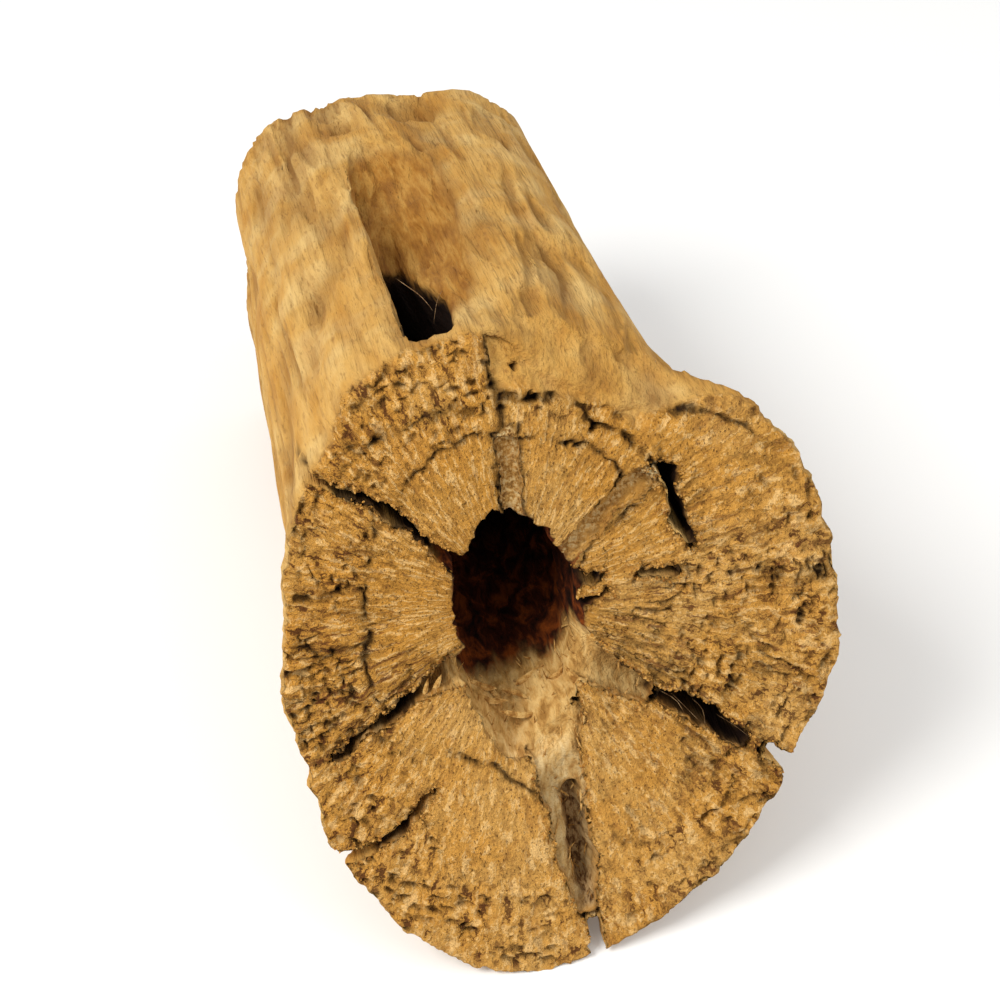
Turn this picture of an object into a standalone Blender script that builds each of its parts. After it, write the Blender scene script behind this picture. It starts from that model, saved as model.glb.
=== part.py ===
# A hollow piece of driftwood, sawn across its flared root end and lying on a level surface.
# Sizes are in millimetres and angles in degrees up to the function place, which turns them into metres.
#
# The wood is described along its own axis: u to the right, v up, and s from the middle of the
# sawn end to the far end, with u = v = 0 at the middle of the hollow. The axis dips to the far end.

import math
import random

import bmesh
import bpy
from mathutils import Vector

# Driving dimensions
LENGTH = 172.0          # along the axis, from the middle of the sawn end to the far end
AXIS_DIP = 12.0         # how far the axis drops to the far end
SAW_LEAN = 15.0         # how far the saw cut leans back from square
HALF_WIDTH = 39.9       # of the trunk behind the flare
HALF_WIDTH_FAR = 40.6   # and at the far end
TRUNK_MID_U = 0.1       # how far the trunk's middle lies right of the hollow's
TRUNK_TOP = 50.0        # v of the trunk's upper side near the sawn end
TRUNK_TOP_FAR = 53.6    # and at the far end
TRUNK_BOTTOM = -34.7    # v of the trunk's underside
SQUARENESS = 2.4        # 2 gives a round trunk, more gives squarer corners
SQUARENESS_FAR = 3.4    # at the far end
FLAT_DEPTH = 1.8        # how much of each low point is worn flat

AROUND = 92             # points round the trunk
ALONG = 38              # rings from the sawn end to the far end

# The sawn end's outline: angle round the hollow from the right-hand side, and radius.
FACE_OUTLINE = [
    (-176, 44), (-163, 47.3), (-150, 49.5), (-143, 53), (-131, 58.5), (-122, 62.5), (-112, 68),
    (-100, 73.3), (-90, 75.2), (-75, 72.5), (-62, 70.5), (-46, 67.5), (-33, 65), (-18, 66),
    (0, 63.5), (18, 61), (30, 59), (41, 54), (47, 48.5), (58, 46), (72, 46.5), (92, 50),
    (107, 50.2), (122, 50.5), (134, 45), (148, 45), (162, 43.5),
]

# How far behind the cut the flare runs out, by angle: short at the lobe, long underneath.
FLARE_REACH = [(-175, 34), (-140, 62), (-90, 84), (-50, 66), (-15, 44), (20, 36), (60, 26), (120, 24)]

# The worn shoulder between the two upper wedges and the lobe: from, to, and how far it falls back.
SHOULDER_FROM, SHOULDER_TO, SHOULDER_FALL = 32.0, 92.0, 8.0

# The hollow: s, middle u, middle v, half width, half height.
HOLLOW = [
    (-30, 1, -8, 15, 25), (-6, 0.5, -6, 12.5, 23.5), (6, 0, -4, 12.5, 21), (22, -1, -1, 14.5, 19),
    (45, -2, 2, 16, 18), (80, -1, 4, 15, 16), (125, 1, 6, 13.5, 14.5), (LENGTH + 12, 2, 8, 14, 15),
]
HOLLOW_AROUND = 28

# The opening in the top, at several places along the axis: its steep left edge, the right edge of the
# slot that breaks into the hollow and its height there, the slot's bottom, and the right end of the slope.
OPENING = [
    (16, -11.5, -7.5, 52, 51, -4), (19, -13, -5.5, 50, 30, 0), (23, -14, -4.5, 48.8, 12, 3),
    (32, -14.5, -3.5, 47.2, 8, 5), (42, -14.5, -3.2, 45.8, 8, 6.5), (52, -15, -5, 44.2, 8, 7.5),
    (62, -15, -6.5, 42, 8, 8), (73, -15, -8, 40, 12, 8.5), (80, -15, -9, 38.6, 37.4, 8.5),
    (86, -15, -8, 38.5, 37.5, 8.5), (97, -15, -5, 42, 41, 8.5), (112, -14, -2, 46.5, 45.5, 9),
    (124, -12, -2, 51, 50.2, 9), (133, -9, -1, 56.5, 55.6, 7),
]
OPENING_RIM = 66.0      # v of the top of the cutter, clear of the wood
OPENING_LIP = 54.0      # v from which the left edge is undercut
OPENING_SLOPE = 50.8    # v where the slope meets the side
OPENING_FLARE = 7.0     # how far the cutter widens above the slope
UNDERCUT = 1.5

# Cracks in the sawn end: a run of (u, v, width), and how deep it goes behind the cut.
CRACKS = {
    "lower_right_fibrous": ([(9, -10.5, 10), (13, -14, 7.6), (19.7, -17.8, 5.2), (25, -21.2, 4)], 4),
    "lower_right_open": ([(26.5, -21.4, 2.6), (30.5, -23.2, 4.4), (34.7, -26.3, 4.7), (39, -30, 4.4),
                          (43.5, -33.3, 3)], 14),
    "lower_right_notch": ([(47.3, -35.6, 3.2), (53, -39.5, 3.6), (62, -46, 6)], 26),
    "bottom_channel": ([(5, -22, 12), (5.6, -33, 8.8), (6.6, -42, 8), (8, -52, 7), (9.6, -63, 4.6)], 3.6),
    "bottom_slot": ([(8.4, -38, 2.6), (8.6, -44, 4.6), (9, -52, 4.8), (9.8, -60, 3.6)], 9),
    "bottom_notch": ([(10, -64.5, 2.2), (10.8, -72, 3), (11.6, -84, 4.4)], 30),
    "lower_left": ([(-9, -10, 7), (-16, -12.8, 4.4), (-21, -15.5, 2.8), (-27, -18.8, 2),
                    (-37, -25.5, 1.2)], 9),
    "low_left": ([(-19, -34, 1.2), (-25, -40, 1.8), (-29.5, -43, 2.4), (-34, -44.4, 2.2), (-42, -45, 3)], 10),
    "upper_left": ([(-9, 7.5, 3), (-14, 12, 1.6), (-18.5, 17, 1.4), (-22, 19.6, 2.6), (-27, 23.4, 1.4),
                    (-34, 26.6, 1.2), (-41, 28.5, 1.4)], 11),
    "grey_ray_top": ([(1.2, 13, 4.4), (1.2, 22, 3.9), (1.2, 31, 3.4)], 2.4),
    "grey_ray_right": ([(8, 6, 4), (15.5, 11.5, 4.2), (20.5, 15.8, 4.4), (27, 20.6, 4.6)], 2.4),
    "gap_by_lobe": ([(29, 22.4, 1.6), (31.2, 20.8, 3.4), (31.6, 17, 2.4), (33, 12, 3), (35.2, 7, 2.2)], 14),
    "slot_by_lobe": ([(24.8, 2.4, 1.7), (32.2, 2.2, 1.8)], 9),
    "bite_by_hollow": ([(10, 3, 4), (14, 2.8, 2.6), (17, 2.4, 1.6)], 5),
    "bite_below": ([(10.5, -2.6, 1.8), (14.5, -1.8, 1.6), (18, -0.3, 1.4)], 7),
}
CRACK_START = 12.0      # the cutters begin this far outside the cut
CRACK_NARROWS = 0.5     # a crack's width at its bottom, as a share of its width at the cut

# Cracks in the far end, the same way.
FAR_CRACKS = {
    "far_upper_right": ([(13, 15, 3.4), (23, 25, 2.4), (35, 34, 1.4)], 14),
    "far_left": ([(-8, 3, 4), (-21, -4, 2.6), (-37, -11, 1.4)], 16),
    "far_bottom": ([(4, -4, 3.4), (7, -16, 2.4), (9, -28, 1.2)], 12),
    "far_upper_left": ([(-6, 18, 3), (-15, 29, 2), (-22, 42, 1.2)], 12),
    "far_ring": ([(27, 12, 1.2), (28.5, 3, 1.8), (25, -8, 1.2)], 7),
}

# Long pits in the weathered side: angle round the trunk's middle, s, length, width, depth.
PITS = [
    (105, 147, 15, 6.5, 4.6), (94, 165, 9, 6, 2.6), (84, 155, 18, 9.5, 5.6), (62, 159, 13, 7, 2.6),
    (69, 122, 12, 8, 1.8), (115, 86, 34, 5, 3.2), (116, 64, 16, 5, 3), (133, 135, 44, 5.5, 2.8),
    (135, 90, 36, 5.5, 3), (119, 112, 24, 5, 2.6), (124, 56, 24, 5, 4.6), (115, 40, 32, 5, 3.2),
    (129, 38, 22, 5, 2.8), (68, 57, 14, 6, 3.2), (61, 60, 10, 5, 2.6), (57, 53, 13, 5, 2.8),
    (77, 31, 9, 6, 2.2), (63, 34, 11, 7, 1.8), (76, 76, 12, 6, 1.8), (72, 97, 20, 7, 2.2),
    (59, 90, 20, 7, 2.2), (142, 60, 40, 5, 2.8), (146, 112, 36, 5, 2.8), (109, 120, 20, 5, 2.4),
]
PIT_REACH = 6.0         # how far out a pit is still worked out, on the scale of its own half size
PIT_SEED = 7
PIT_ROWS, PITS_IN_ROW = 15, 4
PIT_FIRST_S, PIT_STEP_S = 34.0, 36.0
KEEP_CLEAR = (52, 148)  # the angles on top where only the pits of the list lie
TAIL = 6.0              # no pit lies nearer the far end than this

# Low ribs that twist round the trunk: how many, height, and how fast they turn along s.
RIBS = [(9, 0.8, 1 / 45, 0.0), (14, 0.6, -1 / 31, 1.0)]
RIB_START, RIB_RISE = 3.0, 16.0     # how far behind the cut they begin, and over what length they rise
FAR_EDGE, FAR_EDGE_WEAR = 5.0, 2.2  # the worn rim of the far end: along the axis, and inwards

# The rim of the cut: three rings, and what the worn shoulder adds to them.
RIM_IN, RIM_IN_WORN = 1.0, 8.0
RIM_MID_IN, RIM_MID_IN_WORN, RIM_MID_BACK = 0.4, 3.0, 0.5
RIM_BACK = 1.8
FIRST_RING, RING_CROWDING = 0.055, 1.15

SIN_DIP, COS_DIP = math.sin(math.radians(AXIS_DIP)), math.cos(math.radians(AXIS_DIP))
TAN_LEAN = math.tan(math.radians(SAW_LEAN))


def mix(a, b, share):
    return a + (b - a) * share


def smooth(x):
    """0 below 0, 1 above 1, and an even rise between."""
    x = min(max(x, 0.0), 1.0)
    return x * x * (3 - 2 * x)


def round_table(table, angle):
    """A value given at some angles, read smoothly at any angle."""
    for (a, low), (b, high) in zip(table, table[1:] + [(table[0][0] + 360, table[0][1])]):
        turned = a + (angle - a) % 360
        if turned <= b:
            return mix(low, high, smooth((turned - a) / (b - a)))
    return table[0][1]


def run_table(table, s):
    """The row of a table at s, worked out between its neighbours."""
    for low, high in zip(table, table[1:]):
        if s <= high[0]:
            share = max(0.0, (s - low[0]) / (high[0] - low[0]))
            return [mix(a, b, share) for a, b in zip(low[1:], high[1:])]
    return list(table[-1][1:])


def trunk_radius(angle, s):
    """The trunk behind the flare: a rounded square, measured from the middle of the hollow."""
    far = smooth(s / LENGTH)
    top = mix(TRUNK_TOP, TRUNK_TOP_FAR, far)
    half_width, square = mix(HALF_WIDTH, HALF_WIDTH_FAR, far), mix(SQUARENESS, SQUARENESS_FAR, far)
    middle, half = (top + TRUNK_BOTTOM) / 2, (top - TRUNK_BOTTOM) / 2
    c, d = math.cos(math.radians(angle)), math.sin(math.radians(angle))
    low, high = 10.0, 90.0
    for _ in range(30):
        radius = (low + high) / 2
        across = abs((radius * c - TRUNK_MID_U) / half_width) ** square
        upright = abs((radius * d - middle) / half) ** square
        if across + upright < 1:
            low = radius
        else:
            high = radius
    return low


def all_pits():
    """The pits of the list, and staggered ones of the same kind over the sides and the underside."""
    rng = random.Random(PIT_SEED)
    pits = list(PITS)
    for row in range(PIT_ROWS):
        for place_in_row in range(PITS_IN_ROW):
            angle = (row + 0.5 * rng.random()) * 360 / PIT_ROWS
            s = PIT_FIRST_S + (place_in_row + 0.5 * (row % 2) + 0.3 * rng.random()) * PIT_STEP_S
            size = (rng.uniform(22, 42), rng.uniform(4.6, 6.6), rng.uniform(1.2, 2.6))
            if not KEEP_CLEAR[0] < angle < KEEP_CLEAR[1] and s < LENGTH - TAIL:
                pits.append((angle, s, *size))
    return pits


ALL_PITS = all_pits()


def relief(angle, s, behind):
    """Height of the weathered side over the plain trunk: twisting ribs, less the long pits."""
    turn = math.radians(angle)
    height = 0.6 * math.cos(5 * turn + 2.2 * math.sin(s / 27))
    for count, rib, twist, start in RIBS:
        height += rib * math.cos(count * turn + s * twist + start)
    for at, pit_s, length, width, depth in ALL_PITS:
        off = math.radians((angle - at + 180) % 360 - 180) * HALF_WIDTH
        away = ((s - pit_s) / (0.5 * length)) ** 2 + (off / (0.5 * width)) ** 2
        if away < PIT_REACH:
            height -= depth * math.exp(-away)
    return height * smooth((behind - RIB_START) / RIB_RISE)


def side_point(angle, share):
    """A point of the outer side: share runs from 0 at the sawn end to 1 at the far end."""
    face = round_table(FACE_OUTLINE, angle)
    front = TAN_LEAN * face * math.sin(math.radians(angle))
    behind = share * (LENGTH - front)
    s = front + behind
    flare = max(0.0, 1 - behind / round_table(FLARE_REACH, angle)) ** 1.5
    radius = mix(trunk_radius(angle, s), face, flare)
    radius += relief(angle, s, behind)
    radius -= FAR_EDGE_WEAR * smooth((s - LENGTH + FAR_EDGE) / FAR_EDGE) ** 2
    return radius, s


def place(u, v, s):
    """A point of the wood in the world, in metres, before it is set on the ground."""
    return Vector((u, v * SIN_DIP + s * COS_DIP, v * COS_DIP - s * SIN_DIP)) / 1000


def polar(radius, angle, s):
    turn = math.radians(angle)
    return place(radius * math.cos(turn), radius * math.sin(turn), s)


def body_rings():
    """The rings of the outer side, from the rim of the saw cut to the far end."""
    angles = [360 * i / AROUND for i in range(AROUND)]
    half_shoulder = (SHOULDER_TO - SHOULDER_FROM) / 2
    rings = [[], [], []]
    for angle in angles:
        radius, front = side_point(angle, 0)
        worn = smooth(2 - 2 * abs(angle - SHOULDER_FROM - half_shoulder) / half_shoulder)
        fall = SHOULDER_FALL * worn
        inner = radius - RIM_IN - RIM_IN_WORN * worn
        middle = radius - RIM_MID_IN - RIM_MID_IN_WORN * worn
        rings[0].append(polar(inner, angle, TAN_LEAN * inner * math.sin(math.radians(angle))))
        rings[1].append(polar(middle, angle, front + RIM_MID_BACK + 0.3 * fall))
        rings[2].append(polar(radius, angle, front + RIM_BACK + fall))
    for step in range(1, ALONG + 1):
        share = mix(FIRST_RING, 1, (step / ALONG) ** RING_CROWDING)
        ring = []
        for angle in angles:
            radius, s = side_point(angle, share)
            ring.append(polar(radius, angle, s))
        rings.append(ring)
    return rings


def mesh_object(name, mesh, collection):
    made = bpy.data.objects.new(name, mesh)
    collection.objects.link(made)
    return made


def loft(name, rings, collection):
    """A closed solid through rings of equally many points, with flat ends."""
    bm = bmesh.new()
    rows = [[bm.verts.new(point) for point in ring] for ring in rings]
    count = len(rings[0])
    for low, high in zip(rows, rows[1:]):
        for i in range(count):
            j = (i + 1) % count
            bm.faces.new((low[i], low[j], high[j], high[i]))
    bm.faces.new(rows[0])
    bm.faces.new(rows[-1])
    bmesh.ops.recalc_face_normals(bm, faces=bm.faces)
    mesh = bpy.data.meshes.new(name)
    bm.to_mesh(mesh)
    bm.free()
    return mesh_object(name, mesh, collection)


def hollow_rings():
    """The hollow, with slow waves in its wall."""
    rings = []
    for s in (-30, -6, 6, 22, 45, 62, 80, 102, 125, 150, HOLLOW[-1][0]):
        mid_u, mid_v, half_u, half_v = run_table(HOLLOW, s)
        ring = []
        for i in range(HOLLOW_AROUND):
            turn = 2 * math.pi * i / HOLLOW_AROUND
            wave = 1 + 0.05 * math.cos(3 * turn + s / 17) + 0.04 * math.cos(7 * turn - s / 11)
            u, v = mid_u + wave * half_u * math.cos(turn), mid_v + wave * half_v * math.sin(turn)
            ring.append(place(u, v, s))
        rings.append(ring)
    return rings


def opening_rings():
    """The opening in the top: a slot under a steep left edge, and a slope up to the side on its right."""
    rings = []
    for s in (16, 19, 23, 32, 42, 52, 62, 68, 73, 77, 80, 83, 86, 91, 97, 104, 112, 118, 124, 133):
        left, slot, slot_v, bottom, right = run_table(OPENING, s)
        lip = max(OPENING_LIP, slot_v + UNDERCUT)
        meets = max(OPENING_SLOPE, slot_v + 0.5)
        section = [
            (left, OPENING_RIM), (left, lip), (left - UNDERCUT, mix(lip, bottom, 0.35)),
            (left - 0.6 * UNDERCUT, mix(lip, bottom, 0.8)), (mix(left, slot, 0.5), bottom),
            (slot - 0.8, mix(bottom, slot_v, 0.15)), (slot, slot_v),
            (mix(slot, right, 0.5), mix(slot_v, meets, 0.42)), (right, meets),
            (right + OPENING_FLARE, OPENING_RIM),
        ]
        rings.append([place(u, v, s) for u, v in section])
    return rings


def near_cut(v):
    """Where the saw cut lies along the axis."""
    return TAN_LEAN * v


def far_cut(v):
    return LENGTH


def crack_rings(run, depth, cut, inward):
    """A crack's cutter: an outline round its run, from outside the cut to its depth, where it is narrower."""
    def outline(share, s_of):
        left, right = [], []
        for i, (u, v, width) in enumerate(run):
            before, after = run[max(i - 1, 0)], run[min(i + 1, len(run) - 1)]
            along = Vector((after[0] - before[0], after[1] - before[1])).normalized()
            reach = 0.5 * width * share
            left.append((u - along.y * reach, v + along.x * reach))
            right.append((u + along.y * reach, v - along.x * reach))
        return [place(u, v, s_of(v)) for u, v in left + right[::-1]]

    return [
        outline(1.0, lambda v: cut(v) - inward * CRACK_START),
        outline(1.0, lambda v: cut(v) + inward * 0.5 * depth),
        outline(CRACK_NARROWS, lambda v: cut(v) + inward * depth),
    ]


def wood():
    """Weathered wood: light tan, dull."""
    material = bpy.data.materials.new("driftwood")
    material.use_nodes = True
    shader = material.node_tree.nodes["Principled BSDF"]
    shader.inputs["Base Color"].default_value = (0.49, 0.29, 0.085, 1)
    shader.inputs["Roughness"].default_value = 0.85
    shader.inputs["Metallic"].default_value = 0.0
    return material


def set_on_ground(made, others):
    """Moves the middle of the underside to the origin, and wears the low points flat."""
    points = [vertex.co for vertex in made.data.vertices]
    low = [min(p[i] for p in points) for i in range(3)]
    high = [max(p[i] for p in points) for i in range(3)]
    shift = Vector(((low[0] + high[0]) / 2, (low[1] + high[1]) / 2, low[2] + FLAT_DEPTH / 1000))
    for each in [made, *others]:
        for vertex in each.data.vertices:
            vertex.co -= shift
    for vertex in made.data.vertices:
        vertex.co.z = max(vertex.co.z, 0.0)


def collection_of(name):
    made = bpy.data.collections.new(name)
    bpy.context.scene.collection.children.link(made)
    return made


def main():
    for leftover in list(bpy.data.objects):
        bpy.data.objects.remove(leftover)
    parts, cutters = collection_of("driftwood"), collection_of("cutters")

    log = loft("driftwood_log", body_rings(), parts)
    log.data.materials.append(wood())
    tools = [loft("hollow", hollow_rings(), cutters), loft("top_opening", opening_rings(), cutters)]
    for name, (run, depth) in CRACKS.items():
        tools.append(loft(name, crack_rings(run, depth, near_cut, 1), cutters))
    for name, (run, depth) in FAR_CRACKS.items():
        tools.append(loft(name, crack_rings(run, depth, far_cut, -1), cutters))
    set_on_ground(log, tools)

    for tool in tools:
        tool.hide_render = True
        tool.display_type = "WIRE"
        cut = log.modifiers.new(tool.name, "BOOLEAN")
        cut.operation = "DIFFERENCE"
        cut.object = tool
    log.data.shade_smooth()
    log.data.set_sharp_from_angle(angle=math.radians(35))


main()
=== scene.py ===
# %% [markdown]
# # A hollow piece of driftwood
# A short length of weathered wood, sawn across its flared root end, lies on a level surface. Its middle
# has rotted out, and the sea has worn an opening through its top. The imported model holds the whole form
# in a few thousand triangles. Here a finer copy of it takes its place, gets the crumbling end grain, the
# ragged cracks and the soft weathered sides in its mesh, and is coloured by a material that works out
# everything from a point's own place in the wood.

# %% The frame
import math

import bmesh
import bpy
import numpy as np
from mathutils import Matrix, Vector


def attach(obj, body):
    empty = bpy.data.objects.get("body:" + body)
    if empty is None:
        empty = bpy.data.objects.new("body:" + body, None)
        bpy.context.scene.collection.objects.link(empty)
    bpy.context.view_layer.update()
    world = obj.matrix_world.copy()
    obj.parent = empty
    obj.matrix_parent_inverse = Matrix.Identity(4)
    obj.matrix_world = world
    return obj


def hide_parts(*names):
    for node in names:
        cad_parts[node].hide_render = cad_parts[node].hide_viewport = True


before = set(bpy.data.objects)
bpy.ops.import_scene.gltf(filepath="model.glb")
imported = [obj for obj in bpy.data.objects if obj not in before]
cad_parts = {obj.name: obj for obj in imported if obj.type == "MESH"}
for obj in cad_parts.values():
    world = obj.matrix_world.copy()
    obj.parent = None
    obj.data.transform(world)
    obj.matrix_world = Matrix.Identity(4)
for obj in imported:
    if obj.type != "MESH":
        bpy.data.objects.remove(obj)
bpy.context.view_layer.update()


def shown(name, data):
    """An object of this mesh, lamp or camera, in the scene."""
    made = bpy.data.objects.new(name, data)
    bpy.context.scene.collection.objects.link(made)
    return made


def plain_mesh(thing):
    """The mesh that an object's modifiers make. The modifiers go."""
    mesh = bpy.data.meshes.new_from_object(thing.evaluated_get(bpy.context.evaluated_depsgraph_get()))
    thing.modifiers.clear()
    return mesh


# %% [markdown]
# ## Coordinates along the wood
# Wood is laid down round an axis, so its look is easiest to describe along that axis: u to the right,
# v up, s from the sawn end to the far end, in millimetres, with 0 at the middle of the hollow. The axis
# dips to the far end, and the saw cut leans back from square. The two functions below turn places in
# the world into places in the wood and directions back again.

# %% Coordinates along the wood
LOG_ORIGIN = np.array([-9.243, -72.105, 67.942])    # u = v = s = 0, in the world
AXIS_DIP, SAW_LEAN = math.radians(12.0), math.radians(15.0)
LENGTH = 172.0
TAN_LEAN = math.tan(SAW_LEAN)

EU = np.array([1.0, 0.0, 0.0])
EV = np.array([0.0, math.sin(AXIS_DIP), math.cos(AXIS_DIP)])
ES = np.array([0.0, math.cos(AXIS_DIP), -math.sin(AXIS_DIP)])
TO_WOOD = np.stack([EU, EV, ES], axis=1)            # world row vector @ TO_WOOD = (u, v, s)


def in_wood(points):
    """Points of the world, in metres, as u, v, s in millimetres."""
    return (points * 1000 - LOG_ORIGIN) @ TO_WOOD


def in_world(points):
    return (points @ TO_WOOD.T + LOG_ORIGIN) / 1000


print("the middle of the far end", in_world(np.array([[0.0, 0.0, LENGTH]])).round(4))

# %% [markdown]
# ## Camera, floor and light
# The photograph looks down on the sawn end from 40 degrees above, a little from the left, with the
# trunk running away from it. The light is soft and comes mostly from above and from the left, and the
# ground is a plain near-white sheet.

# %% Camera
EYE = Vector((-0.0562, -0.2984, 0.2903))
RIGHT = Vector((0.98155265, -0.19119204, 0.0))
UP = Vector((0.12391536, 0.63616381, 0.76153831))
LENS = 61.2                                         # mm, on a sensor 36 mm wide
camera_data = bpy.data.cameras.new("photo_view")
camera_data.lens = LENS
camera_data.sensor_width = 36.0
camera_data.clip_start = 0.01
camera = shown("photo_view", camera_data)
back = RIGHT.cross(UP)
camera.matrix_world = Matrix((
    (RIGHT.x, UP.x, back.x, EYE.x), (RIGHT.y, UP.y, back.y, EYE.y),
    (RIGHT.z, UP.z, back.z, EYE.z), (0, 0, 0, 1),
))
bpy.context.scene.camera = camera
print("camera looks along", (-back).to_tuple(3))

# %% Floor and light
FLOOR_HALF = 1.5
FLOOR_COLOUR, FLOOR_ROUGHNESS = (0.9, 0.9, 0.89), 0.9
DAYLIGHT = 0.72                                     # how bright the white surroundings are


def plain_material(name, colour, roughness):
    material = bpy.data.materials.new(name)
    material.use_nodes = True
    shader = material.node_tree.nodes["Principled BSDF"]
    shader.inputs["Base Color"].default_value = (*colour, 1)
    shader.inputs["Roughness"].default_value = roughness
    return material


floor_mesh = bpy.data.meshes.new("floor")
corners = [(x * FLOOR_HALF, y * FLOOR_HALF, 0) for x, y in ((-1, -1), (1, -1), (1, 1), (-1, 1))]
floor_mesh.from_pydata(corners, [], [(0, 1, 2, 3)])
floor_mesh.materials.append(plain_material("pale_floor", FLOOR_COLOUR, FLOOR_ROUGHNESS))
floor = shown("floor", floor_mesh)


def soft_light(name, place, target, size, watts, colour=(1, 1, 1)):
    """A square lamp at a place, turned to a target."""
    data = bpy.data.lights.new(name, "AREA")
    data.size, data.energy, data.color = size, watts, colour
    lamp = shown(name, data)
    lamp.location = place
    lamp.rotation_euler = (Vector(target) - Vector(place)).to_track_quat("-Z", "Y").to_euler()


soft_light("key_from_upper_left", (-0.7, -0.3, 0.85), (0, -0.05, 0.05), 0.5, 10.0, (1.0, 0.985, 0.96))
soft_light("fill_from_the_right", (0.8, -0.5, 0.6), (0, 0, 0.05), 0.9, 3.2)

world = bpy.data.worlds.new("studio")
world.use_nodes = True
world.node_tree.nodes["Background"].inputs["Color"].default_value = (1, 1, 1, 1)
world.node_tree.nodes["Background"].inputs["Strength"].default_value = DAYLIGHT
bpy.context.scene.world = world
bpy.context.scene.view_settings.view_transform = "Standard"

# %% [markdown]
# ## Noise
# Weathered wood is irregular at every size. The relief of the mesh is worked out with lattice noise in
# arrays, which gives the same result on every run: a number is hashed from each whole cell, and the
# numbers round a point are blended. Stretching the coordinates first makes grain of it.

# %% Noise in arrays


def smooth(x):
    """0 below 0, 1 above 1, and an even rise between."""
    x = np.clip(x, 0, 1)
    return x * x * (3 - 2 * x)


def hashed(cell, seed):
    """A number from 0 to 1 for each whole cell."""
    a, b, c = (cell[..., i].astype(np.uint32) for i in range(3))
    h = a * np.uint32(374761393) + b * np.uint32(668265263) + c * np.uint32(2246822519)
    h = h + np.uint32(seed * 69069 + 12345)
    h = (h ^ (h >> np.uint32(13))) * np.uint32(1274126177)
    h = (h ^ (h >> np.uint32(16))) * np.uint32(2654435761)
    return (h ^ (h >> np.uint32(15))) / 4294967296.0


def lattice(points, seed):
    """One layer of noise, -1 to 1, on cells of size 1."""
    cell = np.floor(points)
    part = points - cell
    fade = part * part * part * (part * (part * 6 - 15) + 10)
    cell = cell.astype(np.int64)
    total = np.zeros(len(points))
    for i in (0, 1):
        for j in (0, 1):
            for k in (0, 1):
                weight = 1
                for axis, far in enumerate((i, j, k)):
                    weight = weight * (fade[:, axis] if far else 1 - fade[:, axis])
                total += weight * hashed(cell + np.array([i, j, k]), seed)
    return 2 * total - 1


TURN = np.array([[0.36, 0.48, -0.8], [-0.8, 0.6, 0.0], [0.48, 0.64, 0.6]])     # a turn between the layers


def noise(points, size, seed, layers=1, rough=0.5):
    """Layers of noise, each half the size of the one before; about -1 to 1."""
    total, weight, reach = np.zeros(len(points)), 1.0, 0.0
    at = points / size
    for layer in range(layers):
        at = at @ TURN.T
        total += weight * lattice(at + 17.3 * layer, seed + layer)
        reach += weight
        weight *= rough
        at = at * 2.03
    return total / reach


def cells(points, size, seed):
    """Distance to the nearest of scattered points, about 0 to 1, with one point in each cell."""
    at = points / size
    cell = np.floor(at).astype(np.int64)
    nearest = np.full(len(points), 9.0)
    for i in (-1, 0, 1):
        for j in (-1, 0, 1):
            for k in (-1, 0, 1):
                here = cell + np.array([i, j, k])
                spot = np.stack([hashed(here, seed + n) for n in range(3)], axis=1) + here
                nearest = np.minimum(nearest, ((at - spot) ** 2).sum(axis=1))
    return np.sqrt(nearest)


print("noise spreads over", noise(np.random.default_rng(1).uniform(0, 99, (500, 3)), 5, 1, 3).std().round(3))

# %% [markdown]
# ## A finer copy of the wood
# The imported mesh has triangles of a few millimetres. Its copy is merged and remeshed on a half-millimetre
# grid of voxels, which gives the sawn end an even net that can carry crumbs and pits. The sides are thinned
# again at the end, once their relief is on them.

# %% A finer copy of the wood
VOXEL = 0.0005


def fine_copy(node, voxel):
    mesh = node.data.copy()
    bm = bmesh.new()
    bm.from_mesh(mesh)
    bmesh.ops.remove_doubles(bm, verts=bm.verts, dist=1e-6)
    bm.to_mesh(mesh)
    bm.free()
    made = shown("weathered_wood", mesh)
    remesh = made.modifiers.new("voxels", "REMESH")
    remesh.mode = "VOXEL"
    remesh.voxel_size = voxel
    made.data = plain_mesh(made)
    return made


wood = fine_copy(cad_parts["driftwood_log"], VOXEL)
print("fine copy:", len(wood.data.vertices), "vertices,", len(wood.data.polygons), "faces")

# %% Places and directions of its points


def read_points(mesh):
    points = np.empty(len(mesh.vertices) * 3)
    mesh.vertices.foreach_get("co", points)
    normals = np.empty(len(mesh.vertices) * 3, dtype=np.float32)
    mesh.vertex_normals.foreach_get("vector", normals)
    return in_wood(points.reshape(-1, 3)), normals.reshape(-1, 3).astype(float) @ TO_WOOD


uvs, facing = read_points(wood.data)
FACE_NORMAL = np.array([0.0, math.sin(SAW_LEAN), -math.cos(SAW_LEAN)])
u, v, s = uvs.T
angle, radius = np.degrees(np.arctan2(v, u)), np.hypot(u, v)
behind = (s - TAN_LEAN * v) * math.cos(SAW_LEAN)
print("behind the cut, mm", behind.min().round(2), behind.max().round(2))

# %% [markdown]
# ## Which part of the wood a point is on
# The same numbers that shape the solid say where a point lies: the outline of the sawn end, the flare
# behind it and the trunk give the outer side, and whatever is deeper than that is a wall of the hollow,
# of the opening in the top or of a crack.

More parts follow.
